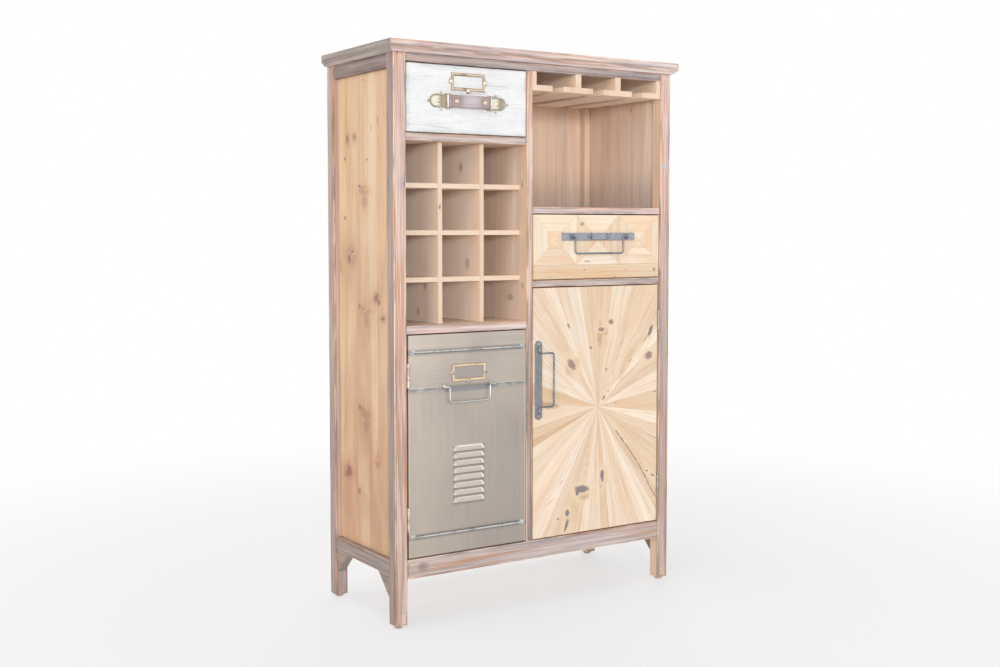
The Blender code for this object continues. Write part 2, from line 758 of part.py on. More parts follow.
def make_label_holder(name, x, z, face_y):
    back = face_y - FIT
    front = back - LABEL_THICKNESS
    half_x, half_z = LABEL_WIDTH / 2, LABEL_HEIGHT / 2
    frame = box(name, (x - half_x, x + half_x), (front, back), (z - half_z, z + half_z), BRASS)
    ears = [(x - half_x, z), (x + half_x, z), (x, z - half_z)]
    for place in ears:
        unite(frame, rod("ear", place, LABEL_EAR_RADIUS, "Y", (front, back), BRASS))
    window_x = (x - LABEL_WINDOW_WIDTH / 2, x + LABEL_WINDOW_WIDTH / 2)
    window_z = (z - LABEL_WINDOW_HEIGHT / 2, z + LABEL_WINDOW_HEIGHT / 2)
    cut(frame, box("window", window_x, (front - OVERRUN, back + OVERRUN), window_z, BRASS))
    for place in ears:
        unite(frame, dome("pin", *place, front, LABEL_PIN_RADIUS, LABEL_PIN_RISE, BRASS))
    return smooth(frame)


def louvre(name, x, top):
    """A pressed hood: it rises from the sheet at its top edge and stands open at its foot."""
    face = frame_y + SKIN_STEP
    inner = face + FIT + FIT
    wide = LOUVRE_WIDTH / 2
    full = wide - LOUVRE_TAPER
    foot = top - LOUVRE_HEIGHT
    section = [(inner, top), (face, top), (inner, foot), (face - LOUVRE_RISE, foot)]
    for step in range(1, DOME_RINGS + 1):
        angle = math.pi / 2 * step / (DOME_RINGS + 1)
        section.append((face - LOUVRE_RISE * math.sin(angle), foot + LOUVRE_HEIGHT * math.cos(angle)))
    bm = bmesh.new()
    for side in (-1, 1):
        for y, z in section:
            bm.verts.new((x + side * full, y, z))
        for y in (inner, face):
            bm.verts.new((x + side * wide, y, foot))
            bm.verts.new((x + side * wide, y, foot + LOUVRE_HEIGHT / 2))
    made = bmesh.ops.convex_hull(bm, input=bm.verts)
    spare = {item for item in made["geom_interior"] + made["geom_unused"]}
    bmesh.ops.delete(bm, geom=[v for v in spare if isinstance(v, bmesh.types.BMVert)], context="VERTS")
    return add_object(name, bm, SHEET)


def make_locker_door():
    lap_z = locker_z[1] - LAP_DROP
    lower_y = (frame_y + SKIN_STEP, door_back_y)
    door = box("locker_door", locker_x, lower_y, locker_z, SHEET)
    upper = box("upper", locker_x, (frame_y, door_back_y), (lap_z, locker_z[1]), SHEET)
    unite(door, upper)
    rod_x = (locker_x[0] + LOCKER_ROD_INSET, locker_x[1] - LOCKER_ROD_INSET)
    top_rod_z = locker_z[1] - LOCKER_TOP_ROD_DROP
    bottom_rod_z = locker_z[0] + LOCKER_BOTTOM_ROD_HEIGHT
    for z, face in ((top_rod_z, frame_y), (bottom_rod_z, frame_y + SKIN_STEP)):
        centre = (face - LOCKER_ROD_STANDOFF, z)
        unite(door, rod("rod", centre, LOCKER_ROD_RADIUS, "X", rod_x, SHEET))
        for end in rod_x:
            clamp_x = (end - CLAMP_LENGTH / 2, end + CLAMP_LENGTH / 2)
            clamp_z = (z - CLAMP_HEIGHT / 2, z + CLAMP_HEIGHT / 2)
            unite(door, box("clamp", clamp_x, (face - CLAMP_RISE, face + FIT), clamp_z, SHEET))
    for index in range(LOUVRE_COUNT):
        top = locker_z[0] + LOUVRE_TOP - index * LOUVRE_PITCH
        unite(door, louvre("louvre", locker_mid_x, top))
    centre = (locker_mid_x, frame_y - PIVOT_STANDOFF, lap_z)
    add_ears(door, centre, "X", LOCKER_BAIL_SPAN, SHEET)

    label_z = lap_z + LOCKER_LABEL_ABOVE_LAP + LABEL_EAR_RADIUS + LABEL_HEIGHT / 2
    label = make_label_holder("locker_label_holder", locker_mid_x, label_z, frame_y)
    down = (0, 0, -1)
    bail = make_bail("locker_bail", centre, "X", LOCKER_BAIL_SPAN, LOCKER_BAIL_DROP, down, STEEL)
    leaves = []
    for number, z in ((1, locker_z[0] + HINGE_INSET), (2, locker_z[1] - HINGE_INSET)):
        leaves.append(make_hinge("locker", number, -1, z))
    hang_on(empty_at("locker_bail_pivot", centre), bail)
    hinge_line = (-hinge_x, hinge_y, locker_z[0])
    hang_on(empty_at("locker_door_pivot", hinge_line), door, label, *leaves)


def make_cupboard_door():
    door = box("cupboard_door", cupboard_x, (frame_y, door_back_y), cupboard_z, PINE)
    soften(door)
    plate_x = cupboard_x[0] + DOOR_PLATE_INSET + DOOR_PLATE_WIDTH / 2
    plate_z = (cupboard_z[0] + cupboard_z[1]) / 2 + DOOR_PLATE_LIFT
    back = frame_y - FIT
    front = back - PLATE_THICKNESS
    end_radius = DOOR_PLATE_WIDTH / 2
    run = DOOR_PLATE_LENGTH / 2 - end_radius
    half_sides = ROUND_SIDES // 2
    outline = circle((plate_x, plate_z + run), end_radius, half_sides, 0.0, math.pi)
    outline += circle((plate_x, plate_z - run), end_radius, half_sides, math.pi, math.pi)
    plate = prism("cupboard_handle_plate", outline, "Y", (front, back), IRON)
    centre = (plate_x, frame_y - PIVOT_STANDOFF, plate_z)
    add_ears(plate, centre, "Z", DOOR_BAIL_SPAN, IRON)
    cut(plate, trim_behind(centre, DOOR_BAIL_SPAN))
    for end in (-1, 1):
        z = plate_z + end * (DOOR_PLATE_LENGTH / 2 - SCREW_INSET)
        unite(plate, dome("screw", plate_x, z, front, RIVET_RADIUS, RIVET_RISE, IRON))
    smooth(plate)
    right = (1, 0, 0)
    bail = make_bail("cupboard_bail", centre, "Z", DOOR_BAIL_SPAN, DOOR_BAIL_REACH, right, IRON)
    leaves = []
    for number, z in ((1, cupboard_z[0] + HINGE_INSET), (2, cupboard_z[1] - HINGE_INSET)):
        leaves.append(make_hinge("cupboard", number, 1, z))
    hang_on(empty_at("cupboard_bail_pivot", centre), bail)
    hinge_line = (hinge_x, hinge_y, cupboard_z[0])
    hang_on(empty_at("cupboard_door_pivot", hinge_line), door, plate, *leaves)


def make_drawer(name, x, z, deck, top):
    front_span = (frame_y, frame_y + DRAWER_FRONT_THICKNESS)
    made_of = WHITE_PAINT if name == "top" else PINE
    front = box(f"{name}_drawer_front", x, front_span, z, made_of)
    soften(front)
    box_x = (x[0] + DRAWER_SIDE_SET_IN, x[1] - DRAWER_SIDE_SET_IN)
    box_y = (front_span[1] + FIT, back_panel_y - DRAWER_BACK_CLEARANCE)
    box_z = (deck + RUNNING, top - DRAWER_HEADROOM)
    body = box(f"{name}_drawer_box", box_x, box_y, box_z, PALE_PINE)
    hollow_x = (box_x[0] + DRAWER_WALL, box_x[1] - DRAWER_WALL)
    hollow_y = (box_y[0] + DRAWER_WALL, box_y[1] - DRAWER_WALL)
    hollow_z = (box_z[0] + DRAWER_FLOOR, box_z[1] + OVERRUN)
    cut(body, box("hollow", hollow_x, hollow_y, hollow_z, PALE_PINE))
    return front, body


def make_strap_bracket(name, side, x, z):
    """A half-round plate with three ball finials, a screw, a lip, and a loop bar that the strap turns on."""
    back = frame_y - FIT
    front = back - STRAP_PLATE_THICKNESS
    half = STRAP_PLATE_HEIGHT / 2
    bar_x = x + side * STRAP_SPAN / 2
    eye_outer = STRAP_BAR_RADIUS + STRAP_EYE_CLEARANCE + STRAP_THICKNESS
    lip_x = bar_x + side * (eye_outer + FIT + STRAP_LIP_RADIUS)
    inner = lip_x + side * (STRAP_LIP_RADIUS + STRAP_PLATE_GAP)
    round_x = inner + side * (STRAP_PLATE_LENGTH - half)
    start = -math.pi / 2
    turn = side * math.pi
    outline = [(inner, z - half)] + circle((round_x, z), half, ROUND_SIDES // 2, start, turn)
    outline.append((inner, z + half))
    plate = prism(name, outline, "Y", (front, back), BRASS)
    screw_x = inner + side * STRAP_SCREW_PLACE
    unite(plate, dome("screw", screw_x, z, front, STRAP_SCREW_RADIUS, STRAP_SCREW_RISE, BRASS))
    finial_x = inner + side * FINIAL_PLACE
    tip_x = inner + side * (STRAP_PLATE_LENGTH + FINIAL_STANDOFF)
    middle_y = back - FINIAL_RADIUS
    for end in (-1, 1):
        tip_z = z + end * (half + FINIAL_STANDOFF)
        neck_z = sorted((z + end * (half - FINIAL_STANDOFF), tip_z))
        neck = rod("neck", (finial_x, middle_y), FINIAL_NECK_RADIUS, "Z", neck_z, BRASS, SMALL_SIDES)
        unite(plate, neck)
        place = (finial_x, middle_y, tip_z)
        unite(plate, ball("ball", place, FINIAL_RADIUS, BRASS))
    neck_x = sorted((inner + side * (STRAP_PLATE_LENGTH - FINIAL_STANDOFF), tip_x))
    unite(plate, rod("neck", (middle_y, z), FINIAL_NECK_RADIUS, "X", neck_x, BRASS, SMALL_SIDES))
    unite(plate, ball("ball", (tip_x, middle_y, z), FINIAL_RADIUS, BRASS))
    bar_y = frame_y - STRAP_BAR_STANDOFF
    arm_in = STRAP_HEIGHT / 2 + FIT + FIT
    arm_x = sorted((bar_x - side * STRAP_BAR_RADIUS, inner + side * STRAP_ARM_WIDTH))
    for end in (-1, 1):
        arm_z = sorted((z + end * arm_in, z + end * (arm_in + STRAP_ARM_WIDTH)))
        arm_y = (bar_y - STRAP_BAR_RADIUS, back - FIT)
        unite(plate, box("arm", arm_x, arm_y, arm_z, BRASS))
    bar_reach = arm_in + STRAP_ARM_WIDTH / 2
    unite(plate, rod("bar", (bar_x, bar_y), STRAP_BAR_RADIUS, "Z", (z - bar_reach, z + bar_reach), BRASS))
    unite(plate, rod("lip", (lip_x, bar_y), STRAP_LIP_RADIUS, "Z", (z - bar_reach, z + bar_reach), BRASS))
    return smooth(plate)


def make_strap(x, z):
    """The leather strap: a bowed band whose ends are sewn round the two loop bars."""
    eye_inner = STRAP_BAR_RADIUS + STRAP_EYE_CLEARANCE
    eye_outer = eye_inner + STRAP_THICKNESS
    bar_y = frame_y - STRAP_BAR_STANDOFF
    half = STRAP_SPAN / 2
    span_z = (z - STRAP_HEIGHT / 2, z + STRAP_HEIGHT / 2)
    outer, inner = [], []
    for step in range(BOW_STEPS + 1):
        share = step / BOW_STEPS
        along = x - half + STRAP_SPAN * share
        bow = STRAP_BOW * math.sin(math.pi * share)
        outer.append((along, bar_y - eye_outer - bow))
        inner.append((along, bar_y - eye_inner - bow))
    strap = prism("leather_strap", outer + inner[::-1], "Z", span_z, LEATHER)
    for end in (-1, 1):
        place = (x + end * half, bar_y)
        unite(strap, rod("eye", place, eye_outer, "Z", span_z, LEATHER))
    for end in (-1, 1):
        place = (x + end * half, bar_y)
        bore_span = (span_z[0] - OVERRUN, span_z[1] + OVERRUN)
        cut(strap, rod("eye_bore", place, eye_inner, "Z", bore_span, LEATHER))
    return smooth(strap)


def make_top_drawer():
    front, body = make_drawer("top", top_drawer_x, top_drawer_z, top_deck, rail_bottom)
    x = (top_drawer_x[0] + top_drawer_x[1]) / 2
    z = (top_drawer_z[0] + top_drawer_z[1]) / 2
    label = make_label_holder("drawer_label_holder", x, z + DRAWER_LABEL_LIFT, frame_y)
    strap_z = z - STRAP_BELOW_CENTRE
    strap = make_strap(x, strap_z)
    left = make_strap_bracket("strap_bracket_left", -1, x, strap_z)
    right = make_strap_bracket("strap_bracket_right", 1, x, strap_z)
    hang_on(empty_at("top_drawer_slide", (x, frame_y, z)), front, body, label, strap, left, right)


def make_mid_drawer():
    front, body = make_drawer("mid", mid_drawer_x, mid_drawer_z, mid_deck, mid_drawer_top)
    x = (mid_drawer_x[0] + mid_drawer_x[1]) / 2
    middle_z = (mid_drawer_z[0] + mid_drawer_z[1]) / 2
    z = middle_z + DRAWER_PLATE_LIFT
    back = frame_y - FIT
    face = back - PLATE_THICKNESS
    half_z = DRAWER_PLATE_HEIGHT / 2
    plate_x = (x - DRAWER_PLATE_LENGTH / 2, x + DRAWER_PLATE_LENGTH / 2)
    plate = box("drawer_handle_plate", plate_x, (face, back), (z - half_z, z + half_z), IRON)
    boss_x = (x - BOSS_LENGTH / 2, x + BOSS_LENGTH / 2)
    boss_z = (z - BOSS_HEIGHT / 2, z + BOSS_HEIGHT / 2)
    unite(plate, box("boss", boss_x, (face - BOSS_RISE, back - FIT), boss_z, IRON))
    for end in (-1, 1):
        rivet_x = x + end * (BOSS_LENGTH / 2 + RIVET_BESIDE_BOSS)
        unite(plate, dome("rivet", rivet_x, z, face, RIVET_RADIUS, RIVET_RISE, IRON))
        screw_x = x + end * (DRAWER_PLATE_LENGTH / 2 - SCREW_INSET)
        unite(plate, dome("screw", screw_x, z, face, RIVET_RADIUS, RIVET_RISE, IRON))
    centre = (x, frame_y - PIVOT_STANDOFF, z)
    add_ears(plate, centre, "X", DRAWER_BAIL_SPAN, IRON)
    cut(plate, trim_behind(centre, DRAWER_BAIL_SPAN))
    smooth(plate)
    down = (0, 0, -1)
    bail = make_bail("drawer_bail", centre, "X", DRAWER_BAIL_SPAN, DRAWER_BAIL_DROP, down, IRON)
    hang_on(empty_at("drawer_bail_pivot", centre), bail)
    hang_on(empty_at("mid_drawer_slide", (x, frame_y, middle_z)), front, body, plate)


def make_catches():
    y = (door_back_y + FIT, door_back_y + FIT + CATCH_DEPTH)
    locker_end = partition_left - CATCH_INSET
    locker_span = (locker_end - CATCH_LENGTH, locker_end)
    locker_height = (locker_top - FIT - CATCH_HEIGHT, locker_top - FIT)
    box("locker_magnetic_catch", locker_span, y, locker_height, BLACK_PLASTIC)
    cupboard_start = partition_right + CATCH_INSET
    cupboard_span = (cupboard_start, cupboard_start + CATCH_LENGTH)
    cupboard_height = (cupboard_top - FIT - CATCH_HEIGHT, cupboard_top - FIT)
    box("cupboard_magnetic_catch", cupboard_span, y, cupboard_height, BLACK_PLASTIC)


make_top()
make_posts_and_glides()
make_sides()
make_back_and_bottom()
make_face_frame()
make_decks()
make_bottle_rack()
make_stemware_rails()
make_top_drawer()
make_mid_drawer()
make_locker_door()
make_cupboard_door()
make_catches()
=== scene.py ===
"""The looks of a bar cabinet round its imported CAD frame. Lengths are in metres, along the frame's axes."""
import math
import random

import bmesh
import bpy
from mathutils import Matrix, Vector


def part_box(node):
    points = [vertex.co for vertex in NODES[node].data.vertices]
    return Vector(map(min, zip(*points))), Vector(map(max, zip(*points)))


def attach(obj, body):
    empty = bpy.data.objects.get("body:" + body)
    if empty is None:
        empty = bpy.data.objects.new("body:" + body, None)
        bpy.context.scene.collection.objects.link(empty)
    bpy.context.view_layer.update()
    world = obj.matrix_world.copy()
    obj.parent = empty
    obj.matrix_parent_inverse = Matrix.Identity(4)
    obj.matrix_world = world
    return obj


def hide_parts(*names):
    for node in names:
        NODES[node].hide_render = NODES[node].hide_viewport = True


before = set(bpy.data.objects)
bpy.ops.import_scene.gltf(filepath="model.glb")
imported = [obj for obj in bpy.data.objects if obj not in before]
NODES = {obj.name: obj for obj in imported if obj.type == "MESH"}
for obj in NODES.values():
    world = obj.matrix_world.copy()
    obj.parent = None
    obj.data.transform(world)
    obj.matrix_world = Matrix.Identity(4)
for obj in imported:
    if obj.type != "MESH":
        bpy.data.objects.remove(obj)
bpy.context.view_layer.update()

MM = 0.001  # the lists of spots are in millimetres


def rgb(red, green, blue):
    """A colour as it should show, 0 to 255, turned into the linear values that a shader takes."""
    linear = []
    for value in (red / 255, green / 255, blue / 255):
        linear.append(value / 12.92 if value <= 0.04045 else ((value + 0.055) / 1.055) ** 2.4)
    return (*linear, 1.0)


def palette(*colours):
    return [rgb(*colour) for colour in colours]


# Light and camera
AMBIENT = 0.40
# Each lamp: its strength, how soft it is in degrees, and the direction that it shines from
LAMPS = {
    "front": (1.28, 9, (-0.42, -0.90, 0.09)),
    "left": (0.60, 30, (-0.85, -0.50, 0.35)),
    "top": (0.68, 30, (-0.15, 0.05, 1.00)),
    "rear": (1.20, 30, (0.55, 0.75, 0.25)),
}
CAMERA_PLACE = (-1.5862, -2.4265, 0.8221)
CAMERA_TURN = (90 - 3.349, 0.0, -32.978)
CAMERA_LENS = 46.09
CAMERA_SHIFT_Y = -0.03
FLOOR_SIZE = 60.0
FLOOR_NEAR = 0.55
FLOOR_FAR = 2.4

# Wood tones: light, middle and dark, and where they are used the knot and the joint
PINE = palette((255, 249, 238), (255, 241, 222), (244, 218, 189), (158, 141, 136), (206, 182, 158))
SQUARE_PINE = palette((255, 249, 234), (255, 239, 216), (242, 213, 181), (158, 141, 136), (206, 178, 148))
SIDE_PINE = palette((255, 234, 204), (250, 218, 182), (228, 188, 152), (172, 128, 116), (206, 172, 144))
INNER = palette((254, 236, 219), (246, 223, 204), (222, 198, 178), (140, 118, 112), (200, 176, 158))
SHADED = palette((248, 226, 208), (238, 215, 197), (220, 197, 179))
RACK = palette((255, 244, 232), (254, 237, 221), (242, 220, 203), (150, 126, 118))
CREAM = palette((250, 237, 225), (244, 227, 212), (233, 207, 186))
ROSE = palette((255, 230, 215), (243, 210, 194), (210, 172, 154), (160, 150, 162))
PALE_ROSE = palette((255, 240, 233), (246, 224, 217), (220, 195, 188), (160, 150, 162))
ASH = palette((208, 196, 188), (192, 180, 172), (172, 160, 153))
LILAC = rgb(194, 184, 192)
RUST = rgb(228, 170, 132)
SMOKE = rgb(158, 158, 158)
SOOT = rgb(160, 152, 149)
WORN = rgb(252, 226, 204)


class Nodes:
    """A node tree built step by step: each method adds nodes and gives back the socket they end in."""

    def __init__(self, owner):
        owner.use_nodes = True
        self.tree = owner.node_tree

    def feed(self, socket, value):
        if isinstance(value, bpy.types.NodeSocket):
            self.tree.links.new(value, socket)
        else:
            socket.default_value = value

    def add(self, kind, inputs=(), out=0, **settings):
        node = self.tree.nodes.new("ShaderNode" + kind)
        for key, value in settings.items():
            setattr(node, key, value)
        for socket, value in zip(node.inputs, inputs):
            if value is not None:
                self.feed(socket, value)
        return node.outputs[out]

    def sum(self, operation, *values):
        return self.add("Math", values, operation=operation)

    def times(self, first, second, plus=None):
        """One value times another, and a third one added where it is given."""
        if plus is None:
            return self.sum("MULTIPLY", first, second)
        return self.sum("MULTIPLY_ADD", first, second, plus)

    def product(self, *values):
        result = values[0]
        for value in values[1:]:
            result = self.times(result, value)
        return result

    def apart(self, first, second):
        """How far two values are from each other."""
        return self.sum("ABSOLUTE", self.sum("SUBTRACT", first, second))

    def clamped(self, operation, *values):
        return self.add("Math", values, operation=operation, use_clamp=True)

    def vector(self, operation, *values):
        out = 1 if operation in ("LENGTH", "DOT_PRODUCT") else 0
        return self.add("VectorMath", values, out, operation=operation)

    def stretch(self, place, factors):
        return self.vector("MULTIPLY", place, factors)

    def noise(self, place, detail=2.0, roughness=0.55, scale=1.0):
        return self.add("TexNoise", (place, None, scale, detail, roughness))

    def cloud(self, place, factors, detail=3.0, roughness=0.55):
        """Noise that is finer along some axes than along others."""
        return self.noise(self.stretch(place, factors), detail, roughness)

    def parts(self, vector):
        return self.add("SeparateXYZ", (vector,)).node.outputs

    def remap(self, value, low, high, to_low=0.0, to_high=1.0):
        inputs = (value, low, high, to_low, to_high)
        return self.add("MapRange", inputs, interpolation_type="SMOOTHSTEP")

    def ramp(self, value, stops):
        node = self.add("ValToRGB", (value,)).node
        points = node.color_ramp.elements
        while len(points) < len(stops):
            points.new(1.0)
        for point, (place, colour) in zip(points, stops):
            point.position = place
            point.color = colour
        return node.outputs[0]

    def mix(self, share, low, high, blend="MIX", kind="RGBA"):
        """Colours or vectors mixed: low where share is 0, high where it is 1."""
        node = self.tree.nodes.new("ShaderNodeMix")
        node.data_type = kind
        node.blend_type = blend
        first, out = {"RGBA": (6, 2), "VECTOR": (4, 1)}[kind]
        for index, value in ((0, share), (first, low), (first + 1, high)):
            self.feed(node.inputs[index], value)
        return node.outputs[out]

    def deepen(self, colour, other):
        """A colour multiplied by another."""
        return self.mix(1.0, colour, other, "MULTIPLY")

    def seen(self):
        """1 on what the camera sees straight, in a gloss or through glass, and 0 on what only gives light."""
        path = self.tree.nodes.new("ShaderNodeLightPath").outputs
        seen = self.sum("MAXIMUM", path["Is Camera Ray"], path["Is Glossy Ray"])
        return self.sum("MAXIMUM", seen, path["Is Transmission Ray"])

    def show(self, shader, output):
        self.tree.links.new(shader, self.tree.nodes[output].inputs["Surface"])


class Shade(Nodes):
    """A node material, with the colour that it has so far."""

    def __init__(self, name):
        self.material = bpy.data.materials.new(name)
        super().__init__(self.material)
        self.shader = self.tree.nodes["Principled BSDF"]
        self.colour = None

    def paint(self, share, colour, blend="MIX"):
        """Mixes a colour into the one so far."""
        self.colour = self.mix(share, self.colour, colour, blend)

    def looking(self, axis, sign):
        """1 on faces that look along an axis, 0 on those that look away."""
        return self.remap(self.normal(axis), 0.4 * sign, 0.8 * sign)

    def either_way(self, axis):
        """1 on faces that look along an axis, either way."""
        return self.sum("GREATER_THAN", self.sum("ABSOLUTE", self.normal(axis)), 0.5)

    def shaded_along(self, colour, axis, start, end, darker):
        """Painted shade: a colour times a darker one, more and more from one place along an axis to another.
        """
        return self.mix(self.remap(self.at(axis), start, end), colour, darker, "MULTIPLY")

    def at(self, axis):
        """Where a point is along an axis of the object."""
        return self.parts(self.coordinate())[axis]

    def normal(self, axis):
        return self.parts(self.coordinate("Normal"))[axis]

    def coordinate(self, name="Object"):
        return self.tree.nodes.new("ShaderNodeTexCoord").outputs[name]

    def attribute(self, name):
        """A value that the mesh carries: the grain as a vector, or one of a face's own numbers."""
        node = self.tree.nodes.new("ShaderNodeAttribute")
        node.attribute_name = name
        return node.outputs["Vector" if name == "grain" else "Fac"]

    def along(self, axis, seed):
        """Coordinates with the grain along X, moved on by a seed so that no two pieces match."""
        apart = self.parts(self.coordinate())
        order = {"X": (0, 1, 2), "Y": (1, 0, 2), "Z": (2, 0, 1)}[axis]
        turned = self.add("CombineXYZ", [apart[index] for index in order])
        return self.vector("ADD", turned, (seed * 3.17, seed * 0.731, seed * 0.413))

    def finish(self, roughness, metallic, height, depth, gloss=0.5):
        """Gives the shader its colour, its roughness and a bump of a height and a depth."""
        bump = self.add("Bump").node
        bump.inputs["Strength"].default_value = 1.0
        bump.inputs["Distance"].default_value = depth
        self.feed(bump.inputs["Height"], height)
        values = {"Base Color": self.colour, "Specular IOR Level": gloss, "Roughness": roughness,
                  "Metallic": metallic, "Normal": bump.outputs[0]}
        for name, value in values.items():
            self.feed(self.shader.inputs[name], value)
        return self.material


def edge_distance(shade, node):
    """How far a point on a block is from its nearest edge: the middle one of its distances to the sides."""
    low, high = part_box(node)
    from_middle = shade.vector("SUBTRACT", shade.coordinate(), (low + high) / 2)
    inset = shade.vector("SUBTRACT", (high - low) / 2, shade.vector("ABSOLUTE", from_middle))
    x, y, z = shade.parts(inset)
    smaller = shade.sum("MINIMUM", x, y)
    larger = shade.sum("MAXIMUM", x, y)
    return shade.sum("MAXIMUM", smaller, shade.sum("MINIMUM", larger, z))


def figure(shade, place, spacing, wander):
    """Growth rings as a saw meets them: bands along X that close into arches where the cut is shallow."""
    drift = shade.cloud(place, (1.9, 9.0, 9.0), 2.0)
    apart = shade.parts(place)
    across = shade.times(drift, wander, apart[1])
    across = shade.sum("PINGPONG", across, 0.055)
    deep = shade.times(apart[0], 0.035, apart[2])
    deep = shade.sum("ADD", shade.sum("PINGPONG", deep, 0.045), 0.006)
    ring = shade.vector("LENGTH", shade.add("CombineXYZ", (across, deep)))
    level = shade.sum("DIVIDE", ring, spacing)
    return shade.add("TexNoise", (None, level, 1.0, 2.0, 0.6), noise_dimensions="1D")


def chance_knots(shade, place, share, size):
    """Knots at random places: the core and the darkened wood round it, each 0 to 1."""
    pitch = (4.2, 19.0)
    apart = shade.parts(place)
    across = shade.sum("ADD", apart[1], apart[2])
    cell = shade.stretch(shade.add("CombineXYZ", (apart[0], across, 0.0)), (*pitch, 1.0))
    found = shade.add("TexVoronoi", (cell, None, 1.0), voronoi_dimensions="2D").node.outputs
    gap = shade.vector("SUBTRACT", cell, found["Position"])
    gap = shade.stretch(gap, (0.6 / pitch[0], 1 / pitch[1], 0.0))
    wobble = shade.cloud(place, (60, 160, 160), 2.0)
    reach = shade.times(wobble, size * 0.9, shade.vector("LENGTH", gap))
    there = shade.sum("LESS_THAN", shade.parts(found["Color"])[0], share)
    core = shade.times(shade.remap(reach, size * 1.25, size * 0.75), there)
    halo = shade.times(shade.remap(reach, size * 3.6, size * 1.0), there)
    return core, halo


def near_spots(shade, spots, depth_axis):
    """How far a point is from the nearest of some spots, in sizes of the spot, with a ragged outline.

    Each spot is two coordinates and two half widths in millimetres, and a tilt in degrees if it has one."""
    nearest = None
    for first, second, long, wide, *tilt in spots:
        first, second, long, wide = (value * MM for value in (first, second, long, wide))
        angle = math.radians(tilt[0]) if tilt else 0.0
        if depth_axis == "X":
            place, size, turn = (0, first, second), (10, long, wide), (angle, 0, 0)
        else:
            place, size, turn = (first, 0, second), (long, 10, wide), (0, -angle, 0)
        node = shade.add("Mapping", (shade.coordinate(), place, turn, size), vector_type="TEXTURE").node
        away = shade.vector("LENGTH", node.outputs[0])
        nearest = away if nearest is None else shade.sum("MINIMUM", nearest, away)
    coarse = shade.noise(shade.coordinate(), 2.0, scale=95.0)
    fine = shade.noise(shade.coordinate(), 3.0, scale=340.0)
    reach = shade.times(coarse, 0.9, nearest)
    return shade.times(fine, 0.8, reach)


